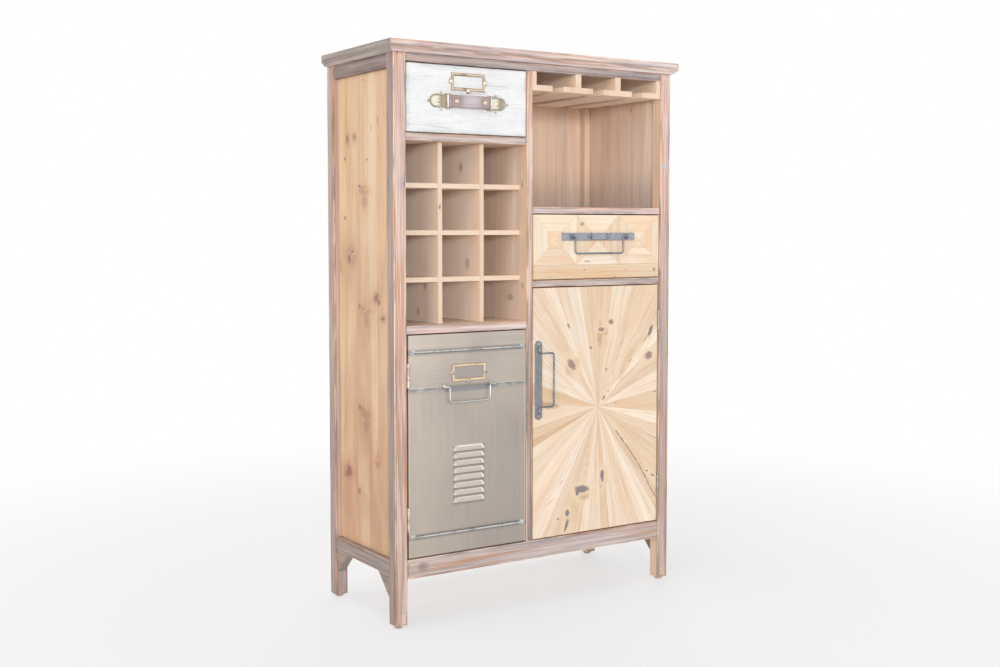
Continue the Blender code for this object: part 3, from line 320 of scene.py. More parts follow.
def wood(name, tones, place, spacing, wander, knots=None, spots=(), depth_axis="Y", boards=0.0,
         tint=None, figured=(0.42, 0.60, 0.40, 0.20), facing=None, lines=0.0, grime=None, spots_on=None,
         painted_shade=None):
    """Softwood.

    place is where the pattern is taken from: (axis of the grain, seed), a list of two of these for faces that
    look along Y or Z and those that look along X, or the name of a mesh attribute.
    spacing and wander are how far apart the growth rings are and how much they wander.
    knots is (share, size) for chance ones, and spots a list of (spots, colour, strength, halo) for others.
    spots_on is (axis, sign) for the faces that have the known spots: the others have the chance ones.
    boards is how far the boards' tones differ, and lines how strong the dark sawn lines on some boards are.
    tint is a warmer colour and how strong its patches are.
    figured is how strongly the growth rings, the broad tone, the streaks and the fibres show.
    facing is (axis, sign, tones) for faces that look one way, with painted shade of their own where it is
    given.
    grime is (node, reach, colour) for dirt along the edges of a panel.
    fade is (axis, from, to, colour), painted shade: the wood is multiplied by that colour more and more on
    the way."""
    shade = Shade(name)
    if isinstance(place, list):
        place = shade.mix(shade.either_way(0), *(shade.along(*one) for one in place), kind="VECTOR")
    elif isinstance(place, tuple):
        place = shade.along(*place)
    else:
        place = shade.attribute(place)
    bands = figure(shade, place, spacing, wander)
    broad = shade.cloud(place, (1.4, 16, 16), 2.0)
    streak = shade.cloud(place, (3.2, 75, 75), 2.0)
    fibre = shade.cloud(place, (16, 520, 520), 2.0)
    level = 0.5 * (1 - sum(figured))
    for pattern, strength in zip((bands, broad, streak, fibre), figured):
        level = shade.times(pattern, strength, level)
    stops = [0.33, 0.50, 0.67]
    shade.colour = shade.ramp(level, list(zip(stops, tones[:3])))
    if boards:
        own = shade.add("TexWhiteNoise", (None, shade.parts(place)[2]), noise_dimensions="1D")
    if lines:
        sawn = shade.cloud(place, (8, 620, 620), 3.0, 0.6)
        share = shade.times(shade.remap(sawn, 0.55, 0.70), shade.remap(own, 0.1, 0.9, 0.3 * lines, lines))
        shade.paint(share, shade.deepen(tones[2], rgb(236, 228, 222)))
    if tint:
        patch = shade.cloud(place, (2.6, 22, 22))
        shade.paint(shade.remap(patch, 0.50, 0.72, 0.0, tint[1]), tint[0])
    if boards:
        hue = shade.mix(own, rgb(255, 244, 232), rgb(250, 250, 255))
        shade.paint(0.5, hue, "MULTIPLY")
        shade.paint(shade.times(shade.attribute("tone"), boards), rgb(222, 198, 170), "MULTIPLY")
    if facing:
        axis, sign, other = facing[:3]
        other = shade.ramp(level, list(zip(stops, other)))
        # the faces' own painted shade, where one is given
        if len(facing) > 3:
            other = shade.shaded_along(other, *facing[3])
        shade.paint(shade.looking(axis, sign), other)
    shown = shade.looking(*spots_on) if spots_on else 1.0
    if knots:
        core, halo = chance_knots(shade, place, *knots)
        rest = shade.sum("SUBTRACT", 1.0, shown) if spots_on else 1.0
        core, halo = (shade.times(part, rest) for part in (core, halo))
        shade.paint(shade.times(halo, 0.45), tones[2])
        shade.paint(shade.times(core, 0.75), tones[3])
    for listed, spot_colour, strength, halo in spots:
        reach = near_spots(shade, listed, depth_axis)
        if halo:
            around = shade.remap(reach, 3.6, 1.6, 0.0, halo)
            shade.paint(shade.times(around, shown), tones[2])
        inside = shade.remap(reach, 2.1, 1.5, 0.0, strength)
        shade.paint(shade.times(inside, shown), spot_colour)
    if boards:
        shade.paint(shade.attribute("joint"), tones[4])
    if grime:
        low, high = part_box(grime[0])
        y, z = shade.at(1), shade.at(2)
        nearest = shade.sum("MINIMUM", shade.sum("SUBTRACT", y, low.y), shade.sum("SUBTRACT", high.y, y))
        nearest = shade.sum("MINIMUM", nearest, shade.sum("SUBTRACT", z, low.z))
        dirt = shade.times(shade.remap(nearest, grime[1], 0.0), shade.remap(streak, 0.3, 0.6, 0.9, 0.3))
        shade.paint(dirt, grime[2], "MULTIPLY")
        cloud = shade.cloud(place, (5, 14, 14))
        lower = shade.remap(z, low.z, high.z, 1.0, 0.0)
        lower = shade.clamped("MULTIPLY", lower, shade.remap(cloud, 0.3, 0.6, 0.5, 1.2))
        shade.paint(lower, rgb(230, 220, 218), "MULTIPLY")
    # painted shade, more and more along an axis, on all faces but those that look back
    if painted_shade:
        forward = shade.sum("LESS_THAN", shade.normal(1), 0.5)
        shade.paint(forward, shade.shaded_along(shade.colour, *painted_shade))
    roughness = shade.remap(fibre, 0.2, 0.8, 0.52, 0.68)
    height = shade.times(bands, 0.35, fibre)
    return shade.finish(roughness, 0.0, height, 0.0002, 0.25)


def stained(node, axis, seed, depth, worn, lilac, inner=None, spots=(), rust=0.8, knots=(), gloss=0.3):
    """The frame's brown stain over softwood: smoky on faces that look sideways, rubbed pale along its edges.

    depth is how smoky it is low down and high up, with the two heights that it changes between.
    worn is how pale the edges are, lilac and rust how strong the cool and the warm patches are.
    inner is how far back plain wood starts, and how far from the middle it may reach.
    spots is a list of (spots, colour, strength, colour round them) on the stain, and knots a list of lists of
    spots on the plain wood."""
    *tones, core_colour = PALE_ROSE if axis == "X" else ROSE
    stops = (0.74, 0.90, 1.0)
    shade = Shade("stained_" + node)
    place = shade.along(axis, seed)
    ends = shade.either_way("XYZ".index(axis))
    if axis == "X":
        place = shade.mix(ends, place, shade.along("Y", seed + 0.7), kind="VECTOR")
    bands = figure(shade, place, 0.005, 0.026)
    broad = shade.cloud(place, (2.2, 30, 30))
    fibre = shade.cloud(place, (14, 480, 480), 2.0)
    streak = shade.cloud(place, (5.0, 170, 170))
    calm = shade.times(broad, 0.6, shade.times(bands, 0.5))
    level = shade.times(fibre, 0.35, shade.times(streak, 0.35, calm))
    shade.colour = shade.ramp(level, list(zip(stops, tones)))
    grey = shade.cloud(place, (2.4, 80, 80))
    shade.paint(shade.remap(grey, 0.48, 0.66, 0.0, lilac), LILAC)
    warm = shade.noise(shade.vector("ADD", shade.stretch(place, (3.5, 130, 130)), (9.1, 3.3, 7.7)), 3.0)
    shade.paint(shade.remap(warm, 0.50, 0.66, 0.0, rust), RUST)
    shade.paint(ends, shade.ramp(level, list(zip(stops, ASH))))
    core, halo = chance_knots(shade, place, 0.25, 0.006)
    shade.paint(shade.times(halo, 0.5), LILAC)
    shade.paint(shade.times(core, 0.6), core_colour)
    for listed, spot_colour, strength, halo in spots:
        reach = near_spots(shade, listed, "Y")
        rings = shade.times(shade.sum("SINE", shade.times(reach, 9.0)), 0.25, 0.6)
        shade.paint(shade.times(shade.remap(reach, 3.4, 1.6), rings), halo)
        shade.paint(shade.remap(reach, 2.0, 1.4, 0.0, strength), spot_colour)
    low, high, below, above = depth
    height = shade.at(2)
    smoke = shade.remap(height, below, above, low, high)
    if axis == "Y" or node.startswith("rear"):
        smoke = shade.sum("ADD", smoke, 0.55 if axis == "Y" else 0.40)
    else:
        sideways = shade.sum("ABSOLUTE", shade.normal(0))
        smoke = shade.times(shade.remap(sideways, 0.5, 0.9), 0.62, smoke)
    smoke = shade.clamped("MULTIPLY", smoke, shade.remap(streak, 0.25, 0.75, 1.35, 0.6))
    if axis == "X":
        smoke = shade.times(smoke, shade.sum("SUBTRACT", 1.0, ends))
    shade.paint(smoke, shade.mix(0.5, shade.deepen(shade.colour, SMOKE), SOOT))
    edge = edge_distance(shade, node)
    rubbed = shade.cloud(place, (12, 120, 120))
    rubbed = shade.add("Mix", (shade.times(ends, 0.8), None, rubbed, 0.5))
    dark_line = shade.times(shade.remap(edge, 0.0060, 0.0025), shade.remap(rubbed, 0.42, 0.60, 0.55, 0.0))
    shade.paint(dark_line, SMOKE, "MULTIPLY")
    near = shade.times(shade.remap(edge, 0.0030, 0.0004), shade.remap(rubbed, 0.36, 0.58, 0.1, worn))
    if axis == "X":
        near = shade.times(near, shade.times(ends, -0.75, 1.0))
    shade.paint(near, shade.mix(shade.remap(warm, 0.45, 0.6), WORN, RUST))
    if inner:
        start, reach = inner
        plain = shade.ramp(shade.times(fibre, 0.06, calm), list(zip((0.42, 0.58, 0.74), SHADED)))
        # painted light by depth: the plain wood turns warmer towards the front
        front = shade.remap(shade.at(1), -0.100, -0.135, 0.0, 0.7)
        plain = shade.mix(front, plain, shade.deepen(plain, rgb(255, 236, 212)))
        for listed in knots:
            gap = near_spots(shade, listed, "X")
            plain = shade.mix(shade.remap(gap, 3.6, 1.6, 0.0, 0.6), plain, SHADED[2])
            plain = shade.mix(shade.remap(gap, 2.1, 1.5, 0.0, 0.5), plain, rgb(160, 132, 120))
        inside = shade.remap(shade.at(1), start, start + 0.0008)
        if reach:
            inside = shade.times(inside, shade.sum("LESS_THAN", shade.sum("ABSOLUTE", shade.at(0)), reach))
        shade.paint(inside, plain)
    roughness = shade.remap(fibre, 0.2, 0.8, 0.5, 0.66)
    grain = shade.times(bands, 0.4, fibre)
    return shade.finish(roughness, 0.0, grain, 0.0003, gloss)


def white_paint(name, seed):
    """Thin white paint over a coarse cloth-like board: short grey lines both ways, and grime at the edges."""
    shade = Shade(name)
    place = shade.along("X", seed)
    lines = shade.cloud(place, (22, 420, 420))
    weave = shade.cloud(place, (420, 60, 45))
    patches = shade.cloud(place, (14, 26, 26))
    worn = shade.cloud(place, (7, 40, 40))
    shade.colour = shade.mix(shade.remap(patches, 0.35, 0.7), rgb(251, 252, 252), rgb(243, 244, 246))
    shade.paint(shade.remap(lines, 0.50, 0.72, 0.0, 0.55), rgb(222, 223, 224))
    shade.paint(shade.remap(weave, 0.52, 0.74, 0.0, 0.5), rgb(224, 225, 227))
    thin = shade.product(shade.remap(worn, 0.54, 0.68), shade.remap(lines, 0.42, 0.62), 0.5)
    shade.paint(thin, rgb(206, 200, 194))
    edge = edge_distance(shade, "top_drawer_front")
    grime = shade.times(shade.remap(edge, 0.012, 0.0), shade.remap(worn, 0.35, 0.65, 0.1, 0.7))
    shade.paint(grime, rgb(206, 209, 214))
    chips = shade.cloud(place, (90, 90, 90), 2.0)
    chipped = shade.times(shade.remap(edge, 0.0024, 0.0004), shade.remap(chips, 0.52, 0.62, 0.0, 0.7))
    shade.paint(chipped, rgb(200, 188, 178))
    height = shade.times(lines, -1.0, shade.times(weave, -0.8))
    return shade.finish(0.62, 0.0, height, 0.0003)


def metal(name, colour, dark, roughness, metallic, grit=900.0, blotch=70.0, depth=0.00006,
          low=(0.42, 0.7), dish=None):
    """Plain worn metal: a colour, a darker one in blotches and as painted shade in hollows and underneath,
    and fine grit.

    grit and blotch are the scales of the grit and the blotches, and low is the range in which blotches start.
    dish is the two places along X between which the floor of a dish goes from a painted highlight to painted
    shade."""
    shade = Shade(name)
    place = shade.coordinate()
    patches = shade.noise(place, 3.0, scale=blotch)
    fine = shade.noise(place, 2.0, scale=grit)
    shade.colour = shade.mix(shade.remap(patches, *low), colour, dark)
    shade.paint(shade.remap(fine, 0.55, 0.8, 0.0, 0.35), dark)
    # painted shade on undersides, and on the sides and hollows that a piece marks with its tone
    deeper = shade.deepen(dark, rgb(176, 170, 164))
    under = shade.remap(shade.normal(2), -0.15, -0.9, 0.0, 0.8)
    shade.paint(under, deeper)
    shade.paint(shade.attribute("tone"), deeper)
    if dish:
        # the dish floor, marked as hood, gets a painted highlight that turns into painted shade
        shaded_part = shade.remap(shade.parts(place)[0], *dish)
        dished = shade.mix(shade.remap(patches, 0.3, 0.7), rgb(172, 164, 150), dark)
        floor = shade.mix(shaded_part, rgb(244, 238, 226), dished)
        shade.paint(shade.attribute("hood"), floor)
    rough = shade.remap(patches, 0.3, 0.7, roughness - 0.07, roughness + 0.1)
    return shade.finish(rough, metallic, fine, depth)


def brushed_sheet(name, middle_x, card):
    """Brushed steel: drawn across above its lap and down below it, with grime and painted shade under the lap
    and the rods.

    middle_x is the middle of the door, and card is the box of the label holder."""
    shade = Shade(name)
    place = shade.coordinate()
    across = shade.cloud(place, (7, 700, 900))
    down = shade.cloud(place, (900, 700, 6))
    x, _, z = shade.parts(place)
    above = shade.sum("GREATER_THAN", z, LAP_Z)
    brushed = shade.add("Mix", (above, None, down, across))
    cloud = shade.cloud(place, (9, 9, 5))
    shade.colour = shade.mix(shade.remap(x, -0.32, -0.10), rgb(199, 187, 175), rgb(185, 176, 168))
    shade.paint(shade.times(above, 0.7), rgb(209, 197, 186))
    shade.paint(shade.remap(cloud, 0.36, 0.70, 0.0, 0.55), rgb(176, 167, 161))
    stroke = shade.remap(brushed, 0.35, 0.75, 0.0, 0.55)
    shade.paint(stroke, rgb(232, 228, 224), "MULTIPLY")
    glow = shade.remap(shade.cloud(place, (4, 9, 4), 2.0), 0.5, 0.7, 0.0, 0.45)
    shade.paint(glow, rgb(200, 189, 176))
    plain = shade.colour
    smear = shade.cloud(place, (60, 60, 110))
    # grime and painted shade: darker below the lap and below the rods, and round the rods
    for level, reach in ((LAP_Z - 0.0005, 0.015), *((rod - 0.001, 0.010) for rod in ROD_LEVELS)):
        under = shade.times(shade.remap(z, level - reach, level), shade.sum("LESS_THAN", z, level))
        shade.paint(shade.times(under, 0.5), rgb(140, 137, 137))
    for level in ROD_LEVELS:
        over = shade.apart(z, level)
        shade.paint(shade.remap(over, 0.0075, 0.0030, 0.0, 0.6), rgb(134, 134, 137))
    away = shade.apart(x, middle_x)
    lap_level = shade.apart(z, LAP_Z - 0.003)
    solder = shade.product(shade.remap(lap_level, 0.008, 0.001), shade.remap(away, 0.066, 0.082),
                           shade.remap(smear, 0.46, 0.58), 0.6)
    shade.paint(solder, rgb(196, 196, 198))
    # grime and painted shade in a band just below the lap: strongest between the ears, thinner outside them
    below = shade.sum("SUBTRACT", LAP_Z, z)
    lower_sheet = shade.sum("GREATER_THAN", below, 0.0)
    grime_and_shade = shade.product(shade.remap(below, 0.0135, 0.0095), shade.remap(away, 0.066, 0.050),
                          lower_sheet, 0.65)
    shade.paint(grime_and_shade, rgb(140, 142, 147))
    thin = shade.product(shade.remap(below, 0.0075, 0.0045), shade.remap(away, 0.056, 0.068), lower_sheet,
                         shade.remap(smear, 0.35, 0.6, 0.7, 0.2))
    shade.paint(thin, rgb(144, 146, 150))
    low, high = card
    near, far = 0.006, 0.009  # from the holder's edge to where the card's grey starts and is full
    inside = shade.product(shade.remap(z, low.z + near, low.z + far),
                           shade.sum("LESS_THAN", z, high.z - 0.003),
                           shade.remap(x, low.x + near, low.x + far),
                           shade.remap(x, high.x - near, high.x - far), 0.75)
    shade.paint(inside, rgb(172, 163, 160))
    # painted shadow over the louvre field, between and under the hoods
    foot = LOUVRE_TOP - (LOUVRES - 1) * LOUVRE_PITCH - LOUVRE_HEIGHT
    louvre_shadow = shade.product(shade.remap(away, 0.0410, 0.0370), shade.remap(z, foot - 0.0088, foot - 0.0018),
                         shade.remap(z, LOUVRE_TOP + 0.0015, LOUVRE_TOP - 0.0015), 0.75)
    shade.paint(louvre_shadow, rgb(146, 137, 131))
    # and painted shadow in the openings, at the louvres' left ends and on the hem between the ears
    # painted light on the louvres and the hem: hoods lighter towards their tops, painted highlights on ridges
    # and edges,
    shade.paint(shade.attribute("hood"), rgb(222, 210, 200))
    shade.paint(shade.attribute("rim"), rgb(255, 252, 248))
    shade.paint(shade.attribute("slot"), rgb(112, 106, 102))
    shade.paint(shade.looking(1, 1), plain)
    roughness = shade.remap(brushed, 0.3, 0.7, 0.36, 0.5)
    roughness = shade.times(shade.attribute("hood"), 0.25, roughness)
    return shade.finish(roughness, 0.6, brushed, 0.00005)


def leather(name, low, high):
    """Brown leather: a painted sheen at its middle, creases, and dark lines at its cut edges and ends."""
    shade = Shade(name)
    place = shade.coordinate()
    pores = shade.add("TexVoronoi", (place, None, 1600.0))
    creases = shade.cloud(place, (60, 60, 190))
    blend = shade.cloud(place, (26, 26, 60), 2.0)
    x, _, z = shade.parts(place)
    middle = (low + high) / 2
    away = shade.apart(x, middle.x + 0.002)
    # a painted sheen: lighter near the strap's middle
    painted_sheen = shade.remap(away, 0.030, 0.010, 0.0, 0.95)
    shade.colour = shade.mix(shade.remap(blend, 0.3, 0.7), rgb(166, 146, 144), rgb(186, 168, 166))
    shade.paint(painted_sheen, rgb(214, 201, 207))
    shade.paint(shade.remap(creases, 0.50, 0.75, 0.0, 0.5), rgb(150, 128, 126))
    across = shade.apart(z, middle.z)
    half_z, half_x = (high.z - low.z) / 2, (high.x - low.x) / 2
    edge = shade.remap(across, half_z - 0.0012, half_z - 0.0002)
    length = shade.apart(x, middle.x)
    ending = shade.apart(length, half_x - 0.0046)
    edge = shade.sum("MAXIMUM", edge, shade.remap(ending, 0.0016, 0.0006))
    shade.paint(shade.times(edge, 0.7), rgb(140, 116, 112))
    height = shade.times(creases, -0.6, pores)
    return shade.finish(0.46, 0.0, height, 0.0002)


def plastic(name, colour):
    shade = Shade(name)
    grain = shade.noise(shade.coordinate(), 2.0, scale=1500.0)
    paler = (*(min(1.0, part * 1.5 + 0.01) for part in colour[:3]), 1.0)
    shade.colour = shade.mix(shade.remap(grain, 0.4, 0.7), colour, paler)
    return shade.finish(0.5, 0.0, grain, 0.00005)


# Mesh building

def inset(outline, distance):
    """A convex outline, listed anticlockwise, moved inwards by a distance."""
    count = len(outline)
    moved = []
    for index in range(count):
        before, here, after = (Vector(outline[(index + step) % count]) for step in (-1, 0, 1))
        first, second = (here - before).normalized(), (after - here).normalized()
        normal = Vector((-first.y, first.x)) + Vector((-second.y, second.x))
        turn = max(0.05, (1 + first.dot(second)) / 2)
        moved.append(tuple(here + normal / 2 * distance / turn))
    return moved


def on_front(point, height):
    """From a plane point and a height above it to a place on a face that looks along -Y."""
    return (point[0], -height, point[1])


def on_left(point, height):
    return (-height, point[0], point[1])


def on_right(point, height):
    return (height, point[0], point[1])


class Builder:
    """One piece's mesh, with the face values and the grain that its material reads."""

    def __init__(self):
        self.bm = bmesh.new()
        self.grain = self.bm.loops.layers.float_vector.new("grain")
        # hood is painted light on louvres and dish floors, and the last one a painted highlight
        # tone is a board's own tone, or painted shade on metal, and slot is painted shadow;
        marks = ("tone", "joint", "slot", "hood", "rim")
        self.marks = {name: self.bm.faces.layers.float.new(name) for name in marks}

    def face(self, verts, **marks):
        made = self.bm.faces.new(verts)
        for name, value in marks.items():
            made[self.marks[name]] = value
        return made

    def join(self, low, high, **marks):
        """Faces between two rings of as many points."""
        turned = zip(low, low[1:] + low[:1], high[1:] + high[:1], high)
        return [self.face(corners, **marks) for corners in turned]

    def stack(self, outline, section, to_place, caps=True, tones=None, **marks):
        """Rings of an outline, each (inset, height) of the section. tones holds each band's tone."""
        rings = []
        for distance, height in section:
            shrunk = inset(outline, distance) if distance else outline
            rings.append([self.bm.verts.new(to_place(point, height)) for point in shrunk])
        made = []
        loops = list(zip(rings, rings[1:]))
        if not caps:
            loops.append((rings[-1], rings[0]))
        for band, (low, high) in enumerate(loops):
            own = {"tone": tones[band]} if tones else {}
            made += self.join(low, high, **marks, **own)
        if caps:
            made.append(self.face(rings[0][::-1], **marks))
            made.append(self.face(rings[-1], **marks))
        return made

    def board(self, outline, levels, to_place, along, tone, chamfer, origin=(0, 0), seed=0.0):
        """A board with broken edges on its show face, and grain along a direction of its plane."""
        made = self.stack(outline, broken(*levels, chamfer), to_place, tone=tone)
        for face in made[len(outline):-2]:
            face[self.marks["joint"]] = 1.0
        across = Vector((-along[1], along[0]))
        middle = Vector(origin)
        for face in made:
            for loop in face.loops:
                place = loop.vert.co
                spot = Vector((place.x if to_place is on_front else place.y, place.z)) - middle
                length, width = spot.dot(Vector(along)), spot.dot(across)
                loop[self.grain] = (length + seed * 3.3, width + seed * 0.77, seed)

    def turned(self, profile, place, direction, sides):
        """A solid of revolution: profile holds (radius, height) from its foot up."""
        turn = Vector((0, 0, 1)).rotation_difference(Vector(direction)).to_matrix()
        rings = []
        for radius, height in profile:
            count = sides if radius > 0 else 1
            angles = [2 * math.pi * step / sides for step in range(count)]
            points = [Vector((radius * math.cos(a), radius * math.sin(a), height)) for a in angles]
            rings.append([self.bm.verts.new(Vector(place) + turn @ point) for point in points])
        for low, high in zip(rings, rings[1:]):
            for index in range(sides):
                after = (index + 1) % sides
                corners = [low[index % len(low)], low[after % len(low)]]
                corners += [high[after % len(high)], high[index % len(high)]]
                self.face(list(dict.fromkeys(corners)))
        for ring in (rings[0][::-1], rings[-1]):
            if len(ring) > 1:
                self.face(ring)

    def dome(self, place, direction, radius, rise):
        """The head of a screw, a rivet or a pin: half a flattened ball, sunk by a hair."""
        steps = 6
        angles = [math.pi / 2 * step / steps for step in range(steps)]
        rounding = [(radius * math.cos(a), rise * math.sin(a)) for a in angles]
        profile = [(radius, -0.0002), *rounding, (0.0, rise)]
        self.turned(profile, place, direction, 24)

    def tube(self, path, radius, sides=16, **marks):
        """A round bar along a path, with its ends rounded off."""
        points = [Vector(point) for point in path]
        legs = [(after - before).normalized() for before, after in zip(points, points[1:])]
        bends = [(coming + going).normalized() for coming, going in zip(legs, legs[1:])]
        rounding = [(0.55, 0.0), (0.88, -0.28), (1.0, -0.75)]
        side = legs[0].orthogonal().normalized()
        rings = []
        for index, (point, direction) in enumerate(zip(points, [legs[0], *bends, legs[-1]])):
            side = (side - direction * side.dot(direction)).normalized()
            other = direction.cross(side)
            steps, out = [(1.0, 0.0)], direction
            if index == 0:
                steps, out = rounding, -direction
            elif index == len(points) - 1:
                steps = rounding[::-1]
            for share, back in steps:
                centre = point + out * radius * back
                rings.append(self.ring(centre, side, other, radius * share, sides))
        for low, high in zip(rings, rings[1:]):
            self.join(low, high, **marks)
        self.face(rings[0][::-1], **marks)
        self.face(rings[-1], **marks)

    def ring(self, centre, side, other, radius, sides):
        angles = [2 * math.pi * step / sides for step in range(sides)]
        places = [centre + side * radius * math.cos(a) + other * radius * math.sin(a) for a in angles]
        return [self.bm.verts.new(place) for place in places]

    def block(self, low, high, rounding, segments=2, **marks):
        """A box with rounded edges."""
        part = bmesh.new()
        bmesh.ops.create_cube(part, size=1.0)
        for vert in part.verts:
            vert.co = [high[axis] if vert.co[axis] > 0 else low[axis] for axis in range(3)]
        bmesh.ops.bevel(part, geom=part.edges[:], offset=rounding, segments=segments, profile=0.5,
                        affect="EDGES", clamp_overlap=True)
        corners = {vert: self.bm.verts.new(vert.co) for vert in part.verts}
        for face in part.faces:
            self.face([corners[vert] for vert in face.verts], **marks)
        part.free()

    def piece(self, name, material, body, replaced, slot, crisp=35):
        """Turns the mesh into a piece that rides on a body. Its shading breaks where it bends by crisp."""
        bmesh.ops.recalc_face_normals(self.bm, faces=self.bm.faces)
        mesh = bpy.data.meshes.new(name)
        self.bm.to_mesh(mesh)
        self.bm.free()
        mesh.materials.append(material)
        obj = bpy.data.objects.new(name, mesh)
        bpy.context.scene.collection.objects.link(obj)
        mesh.shade_smooth()
        mesh.set_sharp_from_angle(angle=math.radians(crisp))
        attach(obj, body)
        if replaced:
            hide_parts(*replaced)


def broken(low, high, edge):
    """The section of a board or plate between two heights, with its upper edge broken."""
    return [(0, low), (0, high - edge), (edge, high)]


def rectangle(low_a, high_a, low_b, high_b):
    return [(low_a, low_b), (high_a, low_b), (high_a, high_b), (low_a, high_b)]


def arc(centre, radius, start, turn, steps):
    angles = [math.radians(start + turn * step / steps) for step in range(steps + 1)]
    return [(centre[0] + radius * math.cos(a), centre[1] + radius * math.sin(a)) for a in angles]


def rounded_path(corners, radii, steps=8):
    path = [Vector(corners[0])]
    for before, corner, after, radius in zip(corners, corners[1:], corners[2:], radii):
        corner = Vector(corner)
        back = (Vector(before) - corner).normalized()
        ahead = (Vector(after) - corner).normalized()
        half = back.angle(ahead) / 2
        middle = corner + (back + ahead).normalized() * radius / math.sin(half)
        start = corner + back * radius / math.tan(half) - middle
        end = corner + ahead * radius / math.tan(half) - middle
        for step in range(steps + 1):
            path.append(middle + start.slerp(end, step / steps).normalized() * radius)
    path.append(Vector(corners[-1]))
    return path


def dress(node, material):
    """Gives a CAD node its finish in place."""
    for slot in NODES[node].material_slots:
        slot.material = material


# Side panels and back

# Painted shade: the inside of the glass bay darkens towards its floor; the axis, from, to, and the colour it
# takes on
BAY_SHADE = (2, 0.985, 0.865, rgb(210, 216, 224))
VENEER = 0.004  # how thick the boards on the plank door and on the lower drawer are

# Where each side's boards meet along Y, and the tones of its boards from the back to the front
SIDE_JOINTS = {"left": (0.098, 0.045, -0.008, -0.048, -0.090), "right": (0.104, 0.041, 0.012, -0.039, -0.083)}
SIDE_TONES = (0.0, 0.28, 0.36, 0.15, 0.36, 0.25)
# Each spot: Y, Z, half width and half height in millimetres, and its tilt in degrees if it has one
SIDE_KNOTS = [
    (88.6, 1015.6, 6, 9.5), (58, 1018, 3.5, 6), (48, 1016, 2, 4), (100.1, 972.9, 4.5, 3.5),
    (-2.9, 967, 4, 1.8), (-53.3, 1045.4, 2, 8), (-23.5, 1033.8, 1.2, 7), (15, 1135, 2.2, 2.5),
    (16.6, 993.1, 1.8, 1.8), (102.1, 845.1, 4.5, 3.2), (31, 912, 6, 3, 10), (83, 756, 7, 10, -10),
    (68, 770, 6, 6), (-43.9, 678.1, 11, 7, -24), (-54, 668, 7, 5, -20), (34, 656, 4.5, 6),
    (-72, 635, 8.5, 4), (36, 439, 5, 6), (88.1, 292.3, 13, 11, 20), (98, 284, 8, 9),
    (39.2, 255.1, 4.5, 6.5),
]
SIDE_STAINS = [
    (12.7, 902, 23, 11, 4), (10, 880, 14, 16), (71.7, 762.3, 27, 23, -8), (87, 1013, 11, 17),
    (54, 1017, 11, 11), (-43.9, 678.1, 18, 13, -24), (8, 648, 22, 10, -8), (3, 628, 10, 18),
    (10, 429, 24, 15, 10), (5, 403, 13, 20, 12), (90, 290, 23, 20, 14), (39.2, 255.1, 9, 10),
    (-44.7, 332, 11, 14), (127.6, 740.6, 8, 11), (-72, 635, 13, 9),
]
SIDE_SHADES = [
    (19.6, 230, 27, 30), (96, 224, 24, 50), (-50, 210, 50, 50), (90, 750, 30, 60), (5, 620, 25, 60),
    (10, 380, 25, 50),
]
SIDE_HEARTS = [
    (-2.1, 905.6, 15, 3.6, -6), (62, 768, 12, 2, -8), (-0.2, 654.4, 8, 5, -16), (5.9, 441.2, 11, 8.5, 10),
    (-44.7, 336.5, 8.5, 7), (127.6, 740.6, 6, 6), (12, 646, 9, 3, -10),
]


def make_side(side_name, to_place, seed):
    node = f"side_panel_{side_name}"
    low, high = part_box(node)
    outer, inner = (pick(abs(low.x), abs(high.x)) for pick in (max, min))
    edges = [high.y, *SIDE_JOINTS[side_name], low.y]
    built = Builder()
    for index, (far, near, tone) in enumerate(zip(edges, edges[1:], SIDE_TONES)):
        outline = rectangle(near, far, low.z, high.z)
        built.board(outline, (inner, outer), to_place, (0, 1), tone, 0.0005, seed=seed + index * 0.61)
    spots = [
        (SIDE_SHADES, rgb(222, 186, 156), 0.5, 0.4), (SIDE_STAINS, rgb(206, 164, 142), 0.75, 0.5),
        (SIDE_KNOTS, SIDE_PINE[3], 0.85, 0.5), (SIDE_HEARTS, rgb(248, 196, 132), 0.85, 0.0),
    ]
    sign = 1 if side_name == "left" else -1
    material = wood(f"side_pine_{side_name}", SIDE_PINE, "grain", spacing=0.009, wander=0.06, spots=spots,
                    depth_axis="X", boards=0.6, tint=(rgb(255, 224, 186), 0.7),
                    figured=(0.36, 0.55, 0.22, 0.26), facing=(0, sign, SHADED, BAY_SHADE), lines=0.35,
                    grime=(node, 0.004, rgb(216, 204, 196)), spots_on=(0, -sign), knots=(0.3, 0.005))
    built.piece(f"side_boards_{side_name}", material, "carcass", [node], "natural_pine")


# The knots and the darker patches round them on the back: X, Z, half width, half height, and any tilt
BACK_KNOTS = [
    (-30.9, 959.5, 3.5, 12), (-94.4, 835.5, 4.5, 8), (-39.8, 751.7, 5, 11), (-136.2, 743, 4, 10),
    (104.8, 669.9, 5, 4, -20), (-183.8, 640.8, 4, 6), (-111, 640, 2.5, 8),
]
BACK_HALOS = [
    (-30.9, 959.5, 10, 26), (-39.8, 751.7, 12, 25), (-94.4, 835.5, 12, 20), (-136.2, 743, 10, 22),
    (104.8, 669.9, 14, 12),
]


